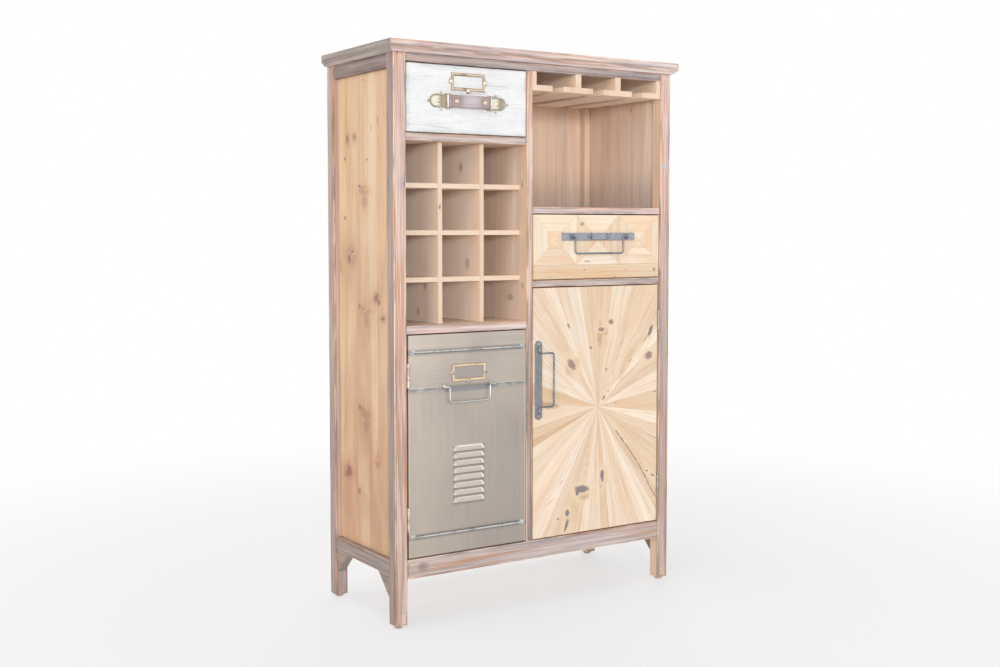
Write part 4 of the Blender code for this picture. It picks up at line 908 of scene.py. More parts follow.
def make_back():
    low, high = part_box("back_panel")
    draw = random.Random(41)
    widths = [draw.uniform(0.7, 1.3) for _ in range(9)]
    total = sum(widths)
    built = Builder()
    x = low.x
    for index, width in enumerate(widths):
        after = x + (high.x - low.x) * width / total
        outline = rectangle(x, after, low.z, high.z)
        levels, seed = (-high.y, -low.y), 9 + index * 0.37
        built.board(outline, levels, on_front, (0, 1), draw.random(), 0.0005, seed=seed)
        x = after
    _, bay_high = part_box("glass_bay_floor")
    rail_low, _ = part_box("stem_rail_right")
    side_low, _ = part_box("side_panel_right")
    width, depth, hair = 0.019, 0.017, 0.0003  # the corner strip of the glass bay
    strip = rectangle(side_low.x - width, side_low.x - 0.0002, bay_high.z + hair, rail_low.z - hair)
    built.board(strip, (-low.y + 0.0002, -low.y + depth), on_front, (0, 1), 0.9, 0.0012, seed=15.2)
    spots = [(BACK_HALOS, rgb(196, 162, 140), 0.55, 0.0), (BACK_KNOTS, rgb(146, 124, 116), 0.6, 0.6)]
    material = wood("inner_back_boards", INNER, "grain", spacing=0.009, wander=0.05, knots=(0.3, 0.005),
                    boards=0.35, figured=(0.34, 0.55, 0.05, 0.08), spots=spots, spots_on=(1, -1),
                    tint=(rgb(240, 206, 178), 0.5), painted_shade=BAY_SHADE)
    built.piece("back_boards", material, "carcass", ["back_panel"], "natural_pine")


# The plank door: boards that fan out from a point below its middle

FAN_CENTRE = (0.1567, 0.4233)
# Each board from here anticlockwise: the angle at which it ends, in degrees from +X, and its tone
FAN_START = -8.1
FAN = [
    (9.1, 0.60), (23.5, 0.18), (31.0, 0.50), (39.4, 0.42), (45.4, 0.02), (50.0, 0.38), (57.0, 0.36),
    (62.9, 0.34), (70.4, 0.46), (81.6, 0.24), (90.3, 0.55), (100.8, 0.52), (103.5, 0.12), (108.0, 0.25),
    (113.7, 0.35), (119.6, 0.14), (127.0, 0.40), (133.4, 0.34), (147.0, 0.12), (160.1, 0.16),
    (166.5, 0.70), (174.6, 0.62), (191.3, 0.20), (199.0, 0.64), (203.7, 0.80), (211.0, 0.14),
    (220.3, 0.40), (230.5, 0.12), (235.7, 0.24), (241.4, 0.10), (247.0, 0.46), (252.7, 0.58),
    (260.0, 0.52), (265.5, 0.22), (272.0, 0.34), (277.0, 0.60), (285.4, 0.26), (293.0, 0.34),
    (296.4, 0.20), (300.5, 0.03), (304.0, 0.22), (309.5, 0.60), (321.6, 0.46), (326.6, 0.60),
    (333.0, 0.50), (342.2, 0.42), (351.9, 0.02),
]
# The marks on the door: X, Z, half width, half height, and any tilt
FAN_KNOTS = [
    (192.5, 612.5, 6.8, 6.2), (166, 596, 8.5, 5), (84, 521, 15, 8, -58), (137, 556, 4, 3.5),
    (304, 530, 11, 8.5, 15), (208, 426.5, 3, 1.6), (323, 445, 4.5, 2.2), (75, 608, 2.6, 6, 30),
    (300, 262, 4, 2.2), (318, 250, 7, 2.6, -30), (48, 180, 3, 3),
]
FAN_BLUE = [
    (113, 240, 19, 8, -4), (101, 236, 6, 10), (170, 264, 5.5, 13), (72.5, 190, 5.5, 7.5),
    (70.5, 162, 4, 15, -20), (308, 588, 5, 13.5, -25), (296, 572, 14, 1, 45), (248, 521, 8, 1.2, 45),
    (174, 442, 5.5, 2.2, 50), (186, 456, 3, 1, 50), (180, 505, 2, 5, -12), (225, 498, 3, 1.2, 40),
]
FAN_STAINS = [
    (162, 583, 7.5, 28, 2), (170, 593, 15, 10), (85, 516, 16, 20, -30), (115, 228, 20, 13, -6),
    (302, 527, 14, 11, 20), (73, 178, 7, 20, -10), (168, 254, 7, 17), (18, 436, 30, 8, -8),
]
FAN_PATCHES = [
    (170, 574, 15, 30), (90, 205, 23, 50, -20), (40, 445, 50, 13, -8), (90, 515, 13, 27, -35),
    (175, 260, 12, 27, 6), (270, 295, 8, 50, 38), (240, 520, 10, 50, -30),
]
FAN_FLECKS = [
    (134, 356, 1.1, 5, -8), (201, 500, 1, 9, -22), (27, 220, 1, 12, -50), (55, 260, 1, 10, -40),
    (152, 290, 0.9, 10, -4), (132, 336, 1.2, 7, -10), (129, 314, 1, 8, -12), (125, 296, 1.2, 6, -12),
    (121, 275, 1, 8, -14), (210, 530, 1, 11, -26), (223, 560, 1, 13, -26), (235, 600, 1, 15, -24),
]
# A dark crack that wanders from board to board: X and Z along it
FAN_CRACK = [
    (208, 363), (220, 350), (233, 333), (246, 319), (259, 301), (272, 286), (285, 264), (298, 244),
    (307, 226), (318, 210), (327, 198),
]


def crack_spots(points, half_width):
    """Spots end to end along a line of points."""
    spots = []
    for (x, z), (next_x, next_z) in zip(points, points[1:]):
        length = math.hypot(next_x - x, next_z - z)
        tilt = math.degrees(math.atan2(next_z - z, next_x - x))
        spots.append(((x + next_x) / 2, (z + next_z) / 2, length * 0.62, half_width, tilt))
    return spots


def wedge_outline(x, z, centre, start, end, shortest=0.0012):
    """The part of a rectangle between two rays from a centre, anticlockwise, without very short edges."""
    rays = [Vector((math.cos(math.radians(a)), math.sin(math.radians(a)))) for a in (start, end)]

    def keep(points, normal):
        kept = []
        for index, point in enumerate(points):
            before = points[index - 1]
            here, there = ((p - Vector(centre)).dot(normal) for p in (point, before))
            if (here >= 0) != (there >= 0):
                kept.append(before + (point - before) * (there / (there - here)))
            if here >= 0:
                kept.append(point)
        return kept

    points = [Vector(corner) for corner in rectangle(*x, *z)]
    points = keep(points, Vector((-rays[0].y, rays[0].x)))
    points = keep(points, Vector((rays[1].y, -rays[1].x)))
    tidy = []
    for point in points:
        if not tidy or (point - tidy[-1]).length > shortest:
            tidy.append(point)
    if (tidy[0] - tidy[-1]).length <= shortest:
        tidy.pop()
    return [tuple(point) for point in tidy]


def make_plank_door():
    low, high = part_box("cupboard_door")
    levels = (-low.y - VENEER, -low.y)
    built = Builder()
    back = rectangle(low.x, high.x, low.z, high.z)
    built.board(back, (-high.y, levels[0]), on_front, (0, 1), 0.3, 0.0004, seed=77)
    start = FAN_START
    draw = random.Random(8)
    for index, (end, tone) in enumerate(FAN):
        outline = wedge_outline((low.x, high.x), (low.z, high.z), FAN_CENTRE, start, end)
        middle = math.radians((start + end) / 2)
        along = (math.cos(middle), math.sin(middle))
        gap = draw.choice((0.00012, 0.00018, 0.00030))
        built.board(outline, levels, on_front, along, tone, gap, FAN_CENTRE, 20 + index * 0.83)
        start = end
    spots = [
        (FAN_PATCHES, rgb(228, 196, 160), 0.65, 0.0), (FAN_STAINS, rgb(206, 170, 138), 0.8, 0.6),
        (FAN_KNOTS, rgb(156, 128, 120), 0.86, 0.9), (FAN_BLUE, rgb(136, 128, 130), 0.95, 0.9),
        (FAN_FLECKS, rgb(228, 160, 118), 0.8, 0.0),
        (crack_spots(FAN_CRACK, 2.3), rgb(172, 146, 130), 0.9, 0.7),
    ]
    material = wood("fan_pine", PINE, "grain", spacing=0.007, wander=0.02, spots=spots, boards=1.0,
                    tint=(rgb(255, 220, 186), 0.45), figured=(0.26, 0.34, 0.40, 0.60), lines=1.0,
                    spots_on=(1, -1), knots=(0.4, 0.006))
    built.piece("fan_boards", material, "cupboard_door", ["cupboard_door"], "natural_pine")


# The lower drawer's front: three squares of mitred strips over a plain board

SQUARE_STRIPS = (0.0, 0.36, 0.66, 1.0)  # from the edge of a square to its middle
SQUARE_FOOT = 0.7425  # the squares stand on one long board that ends here
# The tones of each square's four sides
SQUARE_TONES = ((0.24, 0.12, 0.04, 0.18), (0.10, 0.46, 0.00, 0.34), (0.08, 0.28, 0.00, 0.24))
SQUARE_SPOTS = [
    (118, 730.5, 2.2, 2.2), (234, 730, 2, 2), (318, 728.5, 4, 5), (204, 713.5, 3.2, 1.6), (111, 832, 5, 4.2),
    (126, 749.5, 7, 1.4),
]


def make_square_front():
    low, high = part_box("mid_drawer_front")
    levels = (-low.y - VENEER, -low.y)
    built = Builder()
    draw = random.Random(23)
    back = rectangle(low.x, high.x, low.z, high.z)
    built.board(back, (-high.y, levels[0]), on_front, (1, 0), 0.3, 0.0004, seed=55)
    long_board = rectangle(low.x, high.x, low.z, SQUARE_FOOT)
    built.board(long_board, levels, on_front, (1, 0), 0.58, 0.0003, seed=56.4)
    width = (high.x - low.x) / 3
    for square in range(3):
        left = low.x + width * square
        middle = Vector((left + width / 2, (SQUARE_FOOT + high.z) / 2))
        corners = [Vector(corner) for corner in rectangle(left, left + width, SQUARE_FOOT, high.z)]
        for side in range(4):
            first, second = corners[side], corners[(side + 1) % 4]
            along = (second - first).normalized()
            for strip, (out, into) in enumerate(zip(SQUARE_STRIPS, SQUARE_STRIPS[1:])):
                outline = [first.lerp(middle, out), second.lerp(middle, out)]
                outline += [second.lerp(middle, into), first.lerp(middle, into)] if into < 1 else [middle]
                tone = max(0.0, SQUARE_TONES[square][side] + draw.uniform(-0.18, 0.14))
                seed = 60 + square * 7.1 + side * 1.3 + strip * 0.43
                points = [tuple(point) for point in outline]
                built.board(points, levels, on_front, tuple(along), tone, 0.00018, tuple(middle), seed)
    spots = [(SQUARE_SPOTS, rgb(170, 140, 124), 0.8, 0.5)]
    material = wood("square_pine", SQUARE_PINE, "grain", spacing=0.007, wander=0.02, spots=spots, boards=0.9,
                    tint=(rgb(255, 206, 158), 0.75), figured=(0.28, 0.34, 0.24, 0.34), lines=0.7,
                    spots_on=(1, -1), knots=(0.4, 0.006))
    built.piece("square_boards", material, "mid_drawer", ["mid_drawer_front"], "natural_pine")


# Metal hardware

BAIL_Y = -0.151  # the three bails turn about axes on this plane
WIRE_RADIUS = 0.0019
EAR_OUT = 0.008  # from a bail's arm to the middle of its ear
LAP_Z = 0.4935  # where the upper sheet of the metal door laps over the lower one
ROD_LEVELS = (0.569, 0.186)
LOUVRES, LOUVRE_TOP, LOUVRE_PITCH, LOUVRE_HEIGHT = 8, 0.3675, 0.0156, 0.0105
# Each bail: its middle, the axis it turns about, how far apart its arms are, its reach and its direction
BAILS = {
    "drawer_bail": ((0.1555, BAIL_Y, 0.80425), "X", 0.134, 0.037, (0, 0, -1)),
    "cupboard_bail": ((-0.00675, BAIL_Y, 0.492), "Z", 0.118, 0.038, (1, 0, 0)),
    "locker_bail": ((-0.1835, BAIL_Y, LAP_Z), "X", 0.099, 0.033, (0, 0, -1)),
}


def wire_bail(name, material, slot):
    """A wire handle with its ends bent outwards to turn in two ears."""
    centre, axis, span, reach, direction = BAILS[name]
    along = Vector((1, 0, 0)) if axis == "X" else Vector((0, 0, 1))
    middle, out = Vector(centre), Vector(direction) * reach
    half, stub = span / 2, span / 2 + 0.014
    corners = [middle - along * stub, middle - along * half, middle - along * half + out]
    corners += [middle + along * half + out, middle + along * half, middle + along * stub]
    built = Builder()
    built.tube(rounded_path(corners, (0.004, 0.0065, 0.0065, 0.004)), WIRE_RADIUS)
    built.piece(name + "_wire", material, name, [name], slot, crisp=50)


def ear_offset(bail):
    """How far the middles of a bail's two ears are from the middle of the bail."""
    return BAILS[bail][2] / 2 + EAR_OUT


def saddle(built, place, axis, face_y, length=0.007, half=0.004):
    """A rounded ear that a bail's end turns in: its arch stands on a face and covers the wire."""
    x, y, z = place
    centre, across = (x, z) if axis == "X" else (z, x)
    arch = arc((across, -y), half - 0.0006, 0, 180, 10)
    outline = [(across + half, -face_y), (across + half, -y), *arch[1:-1]]
    outline += [(across - half, -y), (across - half, -face_y)]

    def put(point, height):
        return (height, -point[1], point[0]) if axis == "X" else (point[0], -point[1], height)

    low, high = centre - length / 2, centre + length / 2
    edge = 0.0005
    built.stack(outline, [(edge, low), (0, low + edge), (0, high - edge), (edge, high)], put)


def make_label(node, body, material, pin_material, name):
    """A card holder: a moulded frame with three lobes, each with a domed pin."""
    low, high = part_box(node)
    ear, tuck = 0.0058, 0.002  # a lobe's radius, and how far it reaches under the frame
    left, right, bottom, top = low.x + ear, high.x - ear, low.z + ear, high.z
    back, rise = -high.y, 0.0019
    built = Builder()
    outline = rectangle(left, right, bottom, top)
    wall = 0.0062
    section = [(0, back), (0, back + rise * 0.45), (0.0009, back + rise * 0.6), (0.0014, back + rise)]
    section += [(0.0040, back + rise), (0.0045, back + rise * 0.6), (wall - 0.0006, back + rise * 0.5)]
    section += [(wall, back + rise * 0.3), (wall, back)]
    # the tones put painted shade on the frame's walls and slopes, and leave its flat top bright
    built.stack(outline, section, on_front, caps=False, tones=[1.0, 0.8, 0.3, 0.0, 0.35, 0.7, 0.6, 1.0, 0])
    middle_x, middle_z = (left + right) / 2, (bottom + top) / 2
    pins = Builder()
    for x, z, start in ((left, middle_z, 90), (right, middle_z, -90), (middle_x, bottom, 180)):
        lobe = arc((x, z), ear, start, 180, 12)
        if start == 180:
            lobe = [(x + ear, z + tuck), (x - ear, z + tuck)] + lobe
        else:
            side = math.copysign(1, start)
            lobe = [(x + side * tuck, z - side * ear), (x + side * tuck, z + side * ear)] + lobe
        levels = [(0, back), (0, back + 0.0010), (0.0007, back + 0.0015)]
        # painted shade on the lobes' sides
        built.stack(lobe, levels, on_front, tones=[0.7, 0.6, 0.15])
        pins.dome((x, -back - 0.0014, z), (0, -1, 0), 0.0047, 0.0024)
    built.piece(name, material, body, [node], "aged_brass")
    pins.piece(name + "_pins", pin_material, body, (), "aged_brass", crisp=50)


BAR_Y = -0.1525  # the loop bars stand 8 mm out from the drawer's front
BAR_RADIUS = 0.0013
PLATE = 0.003  # how thick the two black handle plates are
SCREW_IN = 0.007  # from their ends to their screws


def make_bracket(side_name, side, materials):
    """A dished half-round plate with ball finials and a screw, and a lip and a loop bar for the strap."""
    node = f"strap_bracket_{side_name}"
    low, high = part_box(node)
    strap_low, strap_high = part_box("leather_strap")
    middle_z = (low.z + high.z) / 2
    half, length, neck, knob = 0.0135, 0.0375, 0.0036, 0.0026
    back = -high.y
    tip = low.x if side < 0 else high.x
    inner = tip - side * (length + neck + knob)
    round_x = inner + side * (length - half)
    built = Builder()
    outline = [(inner, middle_z + side * half), (inner, middle_z - side * half)]
    outline += arc((round_x, middle_z), half, -90 * side, 180, 20)
    section = [(0, 0), (0, 0.0017), (0.0007, 0.0025), (0.0020, 0.0025), (0.0030, 0.0015), (0.0050, 0.0010)]
    section = [(distance, back + rise) for distance, rise in (*section, (0.0075, 0.0008), (0.0105, 0.0007))]
    # the tones put painted shade on the plate's walls; the dish floor, marked as hood, gets painted light and
    # shade
    made = built.stack(outline, section, on_front, tones=[0.9, 0.6, 0.15, 0.7, 0.1, 0.0, 0.0])
    for face in made[len(outline) * 4:-2] + made[-1:]:
        face[built.marks["hood"]] = 1.0
    made[-1][built.marks["tone"]] = 0.0
    finial_x, ball_y = inner + side * 0.0115, -back - 0.0026
    finials = [((0, end * (half - 0.001)), (0, end * (half + neck))) for end in (-1, 1)]
    reach_x = inner - finial_x
    finials.append(((reach_x + side * (length - 0.001), 0), (reach_x + side * (length + neck), 0)))
    for root, top in finials:
        root, top = ((finial_x + x, ball_y, middle_z + z) for x, z in (root, top))
        built.tube([root, top], 0.0012)
        ball(built, top, knob)
    bar_x = inner - side * 0.00815
    lip_x = inner - side * 0.0022
    reach = (strap_high.z - strap_low.z) / 2 + 0.0006
    cheek = 0.0018  # how thick the two cheeks are that hold the loop bar
    # the cheeks carry painted shade in their tone
    for end in (-1, 1):
        edge = middle_z + end * reach
        span = sorted((edge, edge + end * cheek))
        x = sorted((bar_x - side * BAR_RADIUS, inner + side * 0.0018))
        built.block((x[0], BAR_Y - BAR_RADIUS, span[0]), (x[1], -back - 0.0005, span[1]), 0.0005, tone=0.4)
    ends = (middle_z - reach - cheek / 2, middle_z + reach + cheek / 2)
    built.tube([(bar_x, BAR_Y, level) for level in ends], BAR_RADIUS)
    # a block under the lip, with painted shade in its tone
    x = sorted((inner + side * 0.0004, lip_x + side * 0.0004))
    first, last = (x[0], BAR_Y + 0.0002, middle_z - reach), (x[1], -back - 0.0010, middle_z + reach)
    built.block(first, last, 0.0003, tone=0.3)
    built.piece(f"bracket_{side_name}", materials[0], "top_drawer", [node], "aged_brass")
    lip = Builder()
    lip.tube([(lip_x, BAR_Y, level) for level in ends], 0.0018)
    lip.piece(f"bracket_lip_{side_name}", materials[2], "top_drawer", (), "aged_brass", crisp=50)
    screw = Builder()
    screw.dome((inner + side * 0.017, -back - 0.0005, middle_z), (0, -1, 0), 0.0046, 0.0022)
    screw.piece(f"bracket_screw_{side_name}", materials[1], "top_drawer", (), "aged_brass", crisp=50)


def ball(built, place, radius):
    steps = 10
    angles = [math.pi * step / steps for step in range(steps + 1)]
    rounding = [(radius * math.sin(a), -radius * math.cos(a)) for a in angles[1:-1]]
    built.turned([(0.0, -radius), *rounding, (0.0, radius)], place, (0, 0, 1), 20)


def make_strap(material, thread, rivet):
    """The leather strap: a bowed band round the two loop bars, stitched along its edges, with two rivets."""
    low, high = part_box("leather_strap")
    thickness, bow, soft, steps = 0.0022, 0.0020, 0.0006, 40
    eye = BAR_RADIUS + 0.00035
    half = (high.x - low.x) / 2 - eye - thickness
    middle_x, middle_z = (low.x + high.x) / 2, (low.z + high.z) / 2
    built = Builder()

    def front(x):
        share = (x - (middle_x - half)) / (2 * half)
        return BAR_Y - eye - thickness - bow * math.sin(math.pi * min(1.0, max(0.0, share)))

    def band(outer_line, inner_line):
        """A band of leather with softened edges, from an outer line and an inner one of as many points."""
        rows = []
        for out, into in zip(map(Vector, outer_line), map(Vector, inner_line)):
            ring = []
            for share, z in ((0.25, low.z), (0.0, low.z + soft), (0.0, high.z - soft), (0.25, high.z),
                             (0.75, high.z), (1.0, high.z - soft), (1.0, low.z + soft), (0.75, low.z)):
                place = out.lerp(into, share)
                ring.append(built.bm.verts.new((place.x, place.y, z)))
            rows.append(ring)
        for one, two in zip(rows, rows[1:]):
            built.join(one, two)
        built.face(rows[0])
        built.face(rows[-1][::-1])

    line = [middle_x - half + 2 * half * step / steps for step in range(steps + 1)]
    band([(x, front(x)) for x in line], [(x, front(x) + thickness) for x in line])
    for side in (-1, 1):
        centre = (middle_x + side * half, BAR_Y)
        band(arc(centre, eye + thickness, -90, side * 250, 16), arc(centre, eye, -90, side * 250, 16))
    built.piece("strap_leather", material, "top_drawer", ["leather_strap"], "brown_leather", crisp=50)
    sewn = Builder()
    pitch, stitch, margin, clear = 0.0040, 0.0027, 0.0024, 0.003
    run = 2 * half - 2 * clear
    count = int(run / pitch)

    def sew(x, z, turn):
        """One stitch, along X or along Z."""
        path = []
        for end, sunk in ((-1, 0.0002), (0, -0.0002), (1, 0.0002)):
            place = x + end * stitch / 2 * (1 - turn)
            path.append((place, front(place) + sunk, z + end * stitch / 2 * turn))
        sewn.tube(path, 0.00042, 8)

    for index in range(count):
        x = middle_x - half + clear + (index + 0.5) * run / count
        sew(x, low.z + margin, 0)
        sew(x, high.z - margin, 0)
    for side in (-1, 1):
        for index in range(5):
            sew(middle_x + side * (half - 0.0035), low.z + 0.0048 + index * (high.z - low.z - 0.0096) / 4, 1)
    sewn.piece("strap_stitches", thread, "top_drawer", (), "brown_leather", crisp=50)
    studs = Builder()
    for share in (-0.72, 0.76):
        x = middle_x + half * share
        profile = [(0.0040, -0.0002), (0.0040, 0.0003), (0.0034, 0.0007), (0.0022, 0.0005), (0.0016, 0.0005)]
        profile += [(0.0010, 0.0011), (0.0, 0.0012)]
        studs.turned(profile, (x, front(x), middle_z), (0, -1, 0), 24)
    studs.piece("strap_rivets", rivet, "top_drawer", (), "aged_brass", crisp=50)


def make_drawer_plate(material, ear_material, screw_material):
    """A flat bar with a raised middle, the bail's ears, two clamps with screws, and a screw at each end."""
    low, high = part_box("drawer_handle_plate")
    x, z, half = (low.x + high.x) / 2, (low.z + high.z) / 2, (high.x - low.x) / 2
    back = -high.y
    face = back + PLATE
    built = Builder()
    built.stack(rectangle(low.x, high.x, low.z, high.z), broken(back, face, 0.0006), on_front)
    boss = rectangle(x - 0.020, x + 0.020, z - 0.00725, z + 0.00725)
    built.stack(boss, broken(back + 0.001, face + 0.0018, 0.0008), on_front)
    built.piece("drawer_plate", material, "mid_drawer", ["drawer_handle_plate"], "grey_iron")
    ears, screws = Builder(), Builder()
    foot, clamp = (0.0062, 0.0062), (0.0013, 0.0078)  # half as wide and half as high
    for end in (-1, 1):
        ear_x, clamp_x, bar_x = (x + end * away for away in (ear_offset("drawer_bail"), 0.0212, 0.0296))
        saddle(ears, (ear_x, BAIL_Y, z), "X", -face)
        blocks = ((ear_x, foot, 0.0012, 0.0005), (clamp_x, clamp, 0.0026, 0.0004))
        for place, (wide, tall), rise, soft in blocks:
            ears.block((place - wide, -face - rise, z - tall), (place + wide, -face + 0.0004, z + tall), soft)
        ears.tube([(bar_x, -face - 0.0006, z - 0.0046), (bar_x, -face - 0.0006, z + 0.0046)], 0.0010, 8)
        for away, radius in ((0.0254, 0.0029), (half - SCREW_IN, 0.0030)):
            screws.dome((x + end * away, -face, z), (0, -1, 0), radius, 0.0018)
    ears.piece("drawer_plate_ears", ear_material, "mid_drawer", (), "grey_iron")
    screws.piece("drawer_plate_screws", screw_material, "mid_drawer", (), "grey_iron", crisp=50)


def make_door_plate(material, screw_material):
    """A flat bar with round ends, the bail's ears and a screw at each end."""
    low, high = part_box("cupboard_handle_plate")
    x, z = (low.x + high.x) / 2, (low.z + high.z) / 2
    radius, half = (high.x - low.x) / 2, (high.z - low.z) / 2
    run = half - radius
    back = -high.y
    face = back + PLATE
    outline = arc((x, z + run), radius, 0, 180, 16) + arc((x, z - run), radius, 180, 180, 16)
    built = Builder()
    built.stack(outline, broken(back, face, 0.0008), on_front)
    screws = Builder()
    for end in (-1, 1):
        saddle(built, (x, BAIL_Y, z + end * ear_offset("cupboard_bail")), "Z", -face)
        screws.dome((x, -face, z + end * (half - SCREW_IN)), (0, -1, 0), 0.0030, 0.0016)
    built.piece("door_plate", material, "cupboard_door", ["cupboard_handle_plate"], "grey_iron")
    screws.piece("door_plate_screws", screw_material, "cupboard_door", (), "grey_iron", crisp=50)


def make_hinge(door, number, material):
    """A butt hinge of two leaves: three knuckles round a pin."""
    side = -1 if door == "locker" else 1
    frame_node, door_node = (f"{door}_hinge_{number}_{part}_leaf" for part in ("frame", "door"))
    low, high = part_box(frame_node)
    radius, bore, leaf, soft = 0.0027, 0.0012, 0.001, 0.0003
    leaf_front, knuckle_back = -0.1442, -0.1440
    axis = ((low.x + high.x) / 2, low.y + radius)
    base, length = low.z, high.z - low.z
    levels = [base, base + length / 3, base + length * 2 / 3, base + length]
    outer = ((levels[0], levels[1] - soft), (levels[2] + soft, levels[3]))
    middle = ((levels[1] + soft, levels[2] - soft),)
    wall = low.x if side < 0 else high.x
    leaves = ((frame_node, "carcass", outer, wall), (door_node, f"{door}_door", middle, wall - side * 0.0034))
    for node, body, spans, face in leaves:
        built = Builder()
        first, last = sorted((face, face - side * leaf))
        built.block((first, leaf_front, base), (last, high.y, base + length), 0.0002, 1)
        for start, end in spans:
            rise = end - start
            profile = [(bore, 0), (radius - soft, 0), (radius, soft), (radius, rise - soft)]
            profile += [(radius - soft, rise), (bore, rise)]
            built.turned(profile, (*axis, start), (0, 0, 1), 24)
            built.block((first, axis[1], start), (last, knuckle_back, end), 0.0002, 1)
        if node == frame_node:
            for end, level in ((-1, levels[0]), (1, levels[3])):
                built.dome((*axis, level), (0, 0, end), 0.0021, 0.0)
            built.tube([(*axis, levels[0] + 0.0001), (*axis, levels[3] - 0.0001)], 0.0011, 12)
        built.piece(node.replace("_leaf", "_plate"), material, body, [node], "silver_steel", crisp=40)


# The metal door

def make_metal_door(material, steel):
    """Two sheets of steel, the upper one lapped over the lower, with rods, louvres and the bail's ears."""
    low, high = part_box("locker_door")
    left, right, bottom, top = low.x, high.x, low.z, high.z
    upper, lower, back = -0.1445, -0.1433, high.y
    middle_x = (left + right) / 2
    built = Builder()
    built.block((left, lower, bottom), (right, back, top), 0.0011, 3)
    # the folded side edges carry a painted highlight
    for x, inward in ((left, 1), (right, -1)):
        first, last = sorted((x + inward * 0.0002, x + inward * 0.0022))
        built.block((first, lower - 0.0004, bottom + 0.001), (last, lower + 0.002, LAP_Z), 0.0004, rim=0.3)
    built.block((left, upper, LAP_Z), (right, lower + 0.002, top), 0.0005)
    reach = 0.0575  # the hem has painted shade between the ears
    ends = (left + 0.0015, middle_x - reach, middle_x + reach, right - 0.0015)
    # a painted highlight on the hem outside the ears, painted shade on it between them
    for start, end, bright in zip(ends, ends[1:], (0.4, 0.0, 0.3)):
        hem = [(x, upper - 0.0003, LAP_Z + 0.0012) for x in (start, end)]
        built.tube(hem, 0.0011, 12, rim=bright, slot=0.0 if bright else 0.35)
    for index in range(LOUVRES):
        louvre(built, middle_x, LOUVRE_TOP - index * LOUVRE_PITCH, lower)
    built.piece("locker_sheet", material, "locker_door", ["locker_door"], "brushed_sheet", crisp=40)
    bars, clamps, ears = Builder(), Builder(), Builder()
    first, last = left + 0.0135, right - 0.0135
    for z, face in zip(ROD_LEVELS, (upper, lower)):
        y = face - 0.003
        bars.tube([(x, y, z) for x in (first - 0.001, first + 0.004, last - 0.004, last + 0.001)], 0.0022)
        for end, sign in ((first, -1), (last, 1)):
            plate = sorted((end - sign * 0.002, end + sign * 0.0095))
            clamps.block((plate[0], face - 0.0010, z - 0.005), (plate[1], face + 0.0006, z + 0.005), 0.0004)
            saddle(clamps, (end, y, z), "X", face, 0.0055, 0.0028)
    wide, tall = 0.0060, 0.0036
    for end in (-1, 1):
        x = middle_x + end * ear_offset("locker_bail")
        saddle(ears, (x, BAIL_Y, LAP_Z), "X", upper + 0.0006)
        foot = (x - wide, upper - 0.0014, LAP_Z - tall)
        ears.block(foot, (x + wide, upper + 0.0006, LAP_Z + tall), 0.0004)
    bars.piece("locker_rods", steel, "locker_door", (), "silver_steel", crisp=50)
    clamps.piece("locker_clamps", steel, "locker_door", (), "silver_steel", crisp=40)
    ears.piece("locker_ears", steel, "locker_door", (), "silver_steel", crisp=40)


def louvre(built, x, top, face):
    """A pressed hood: a steep ridge along its top and its ends, a gentle slope below, open along its foot."""
    wide, height, rise, taper = 0.0385, LOUVRE_HEIGHT, 0.0040, 0.0085
    rows, columns, ridge = 14, 44, 0.24
    grid = []
    for row in range(rows + 1):
        down = (row / rows) ** 1.25
        reach = wide - taper * (1 - math.sqrt(1 - (1 - down) ** 2))
        steep = min(1.0, down / ridge)
        swell = 0.62 * steep + 0.38 * max(0.0, down - ridge) / (1 - ridge)
        line = []
        for column in range(columns + 1):
            share = column / columns * 2 - 1
            share = math.copysign(1 - (1 - abs(share)) ** 1.5, share)
            end = 0.0070 if share < 0 else 0.0120
            beyond = max(0.0, (abs(share) * reach - (reach - end)) / end)
            lift = rise * swell * (1 - beyond ** 1.6)
            place = (x + share * reach, face - lift + 0.0001, top - height * down)
            line.append((built.bm.verts.new(place), share, down))
        grid.append(line)
    for row in range(rows):
        for column in range(columns):
            above, below = grid[row], grid[row + 1]
            corners = [above[column], above[column + 1], below[column + 1], below[column]]
            share = sum(corner[1] for corner in corners) / 4
            down = sum(corner[2] for corner in corners) / 4
            # painted light: hoods lighter towards the top, a painted highlight on the ridge and right end,
            # painted shade at the left end
            lit = 1.0 if down < ridge else max(0.0, min(1.0, (share - 0.78) * 9))
            shaded_end = max(0.0, min(0.4, (-share - 0.82) * 2.6)) if down > ridge else 0.0
            verts = [corner[0] for corner in corners]
            built.face(verts, hood=0.9 - 0.25 * down, rim=lit * (1.0 if share > -0.86 else 0.3), slot=shaded_end)
    foot, head = ([point[0] for point in line] for line in (grid[-1], grid[0]))
    # the walls round each louvre; the one under its foot carries painted shadow
    edges = [(foot, 0.0004, 1.0), (head, 0.0, 0.0), ([line[0][0] for line in grid], 0.0, 0.0)]
    edges.append(([line[-1][0] for line in grid], 0.0, 0.0))
    for edge, lift, dark in edges:
        wall = [built.bm.verts.new((vert.co.x, face + 0.0004, vert.co.z + lift)) for vert in edge]
        for index in range(len(edge) - 1):
            built.face((edge[index + 1], edge[index], wall[index], wall[index + 1]), slot=dark)


# Stage, light and camera

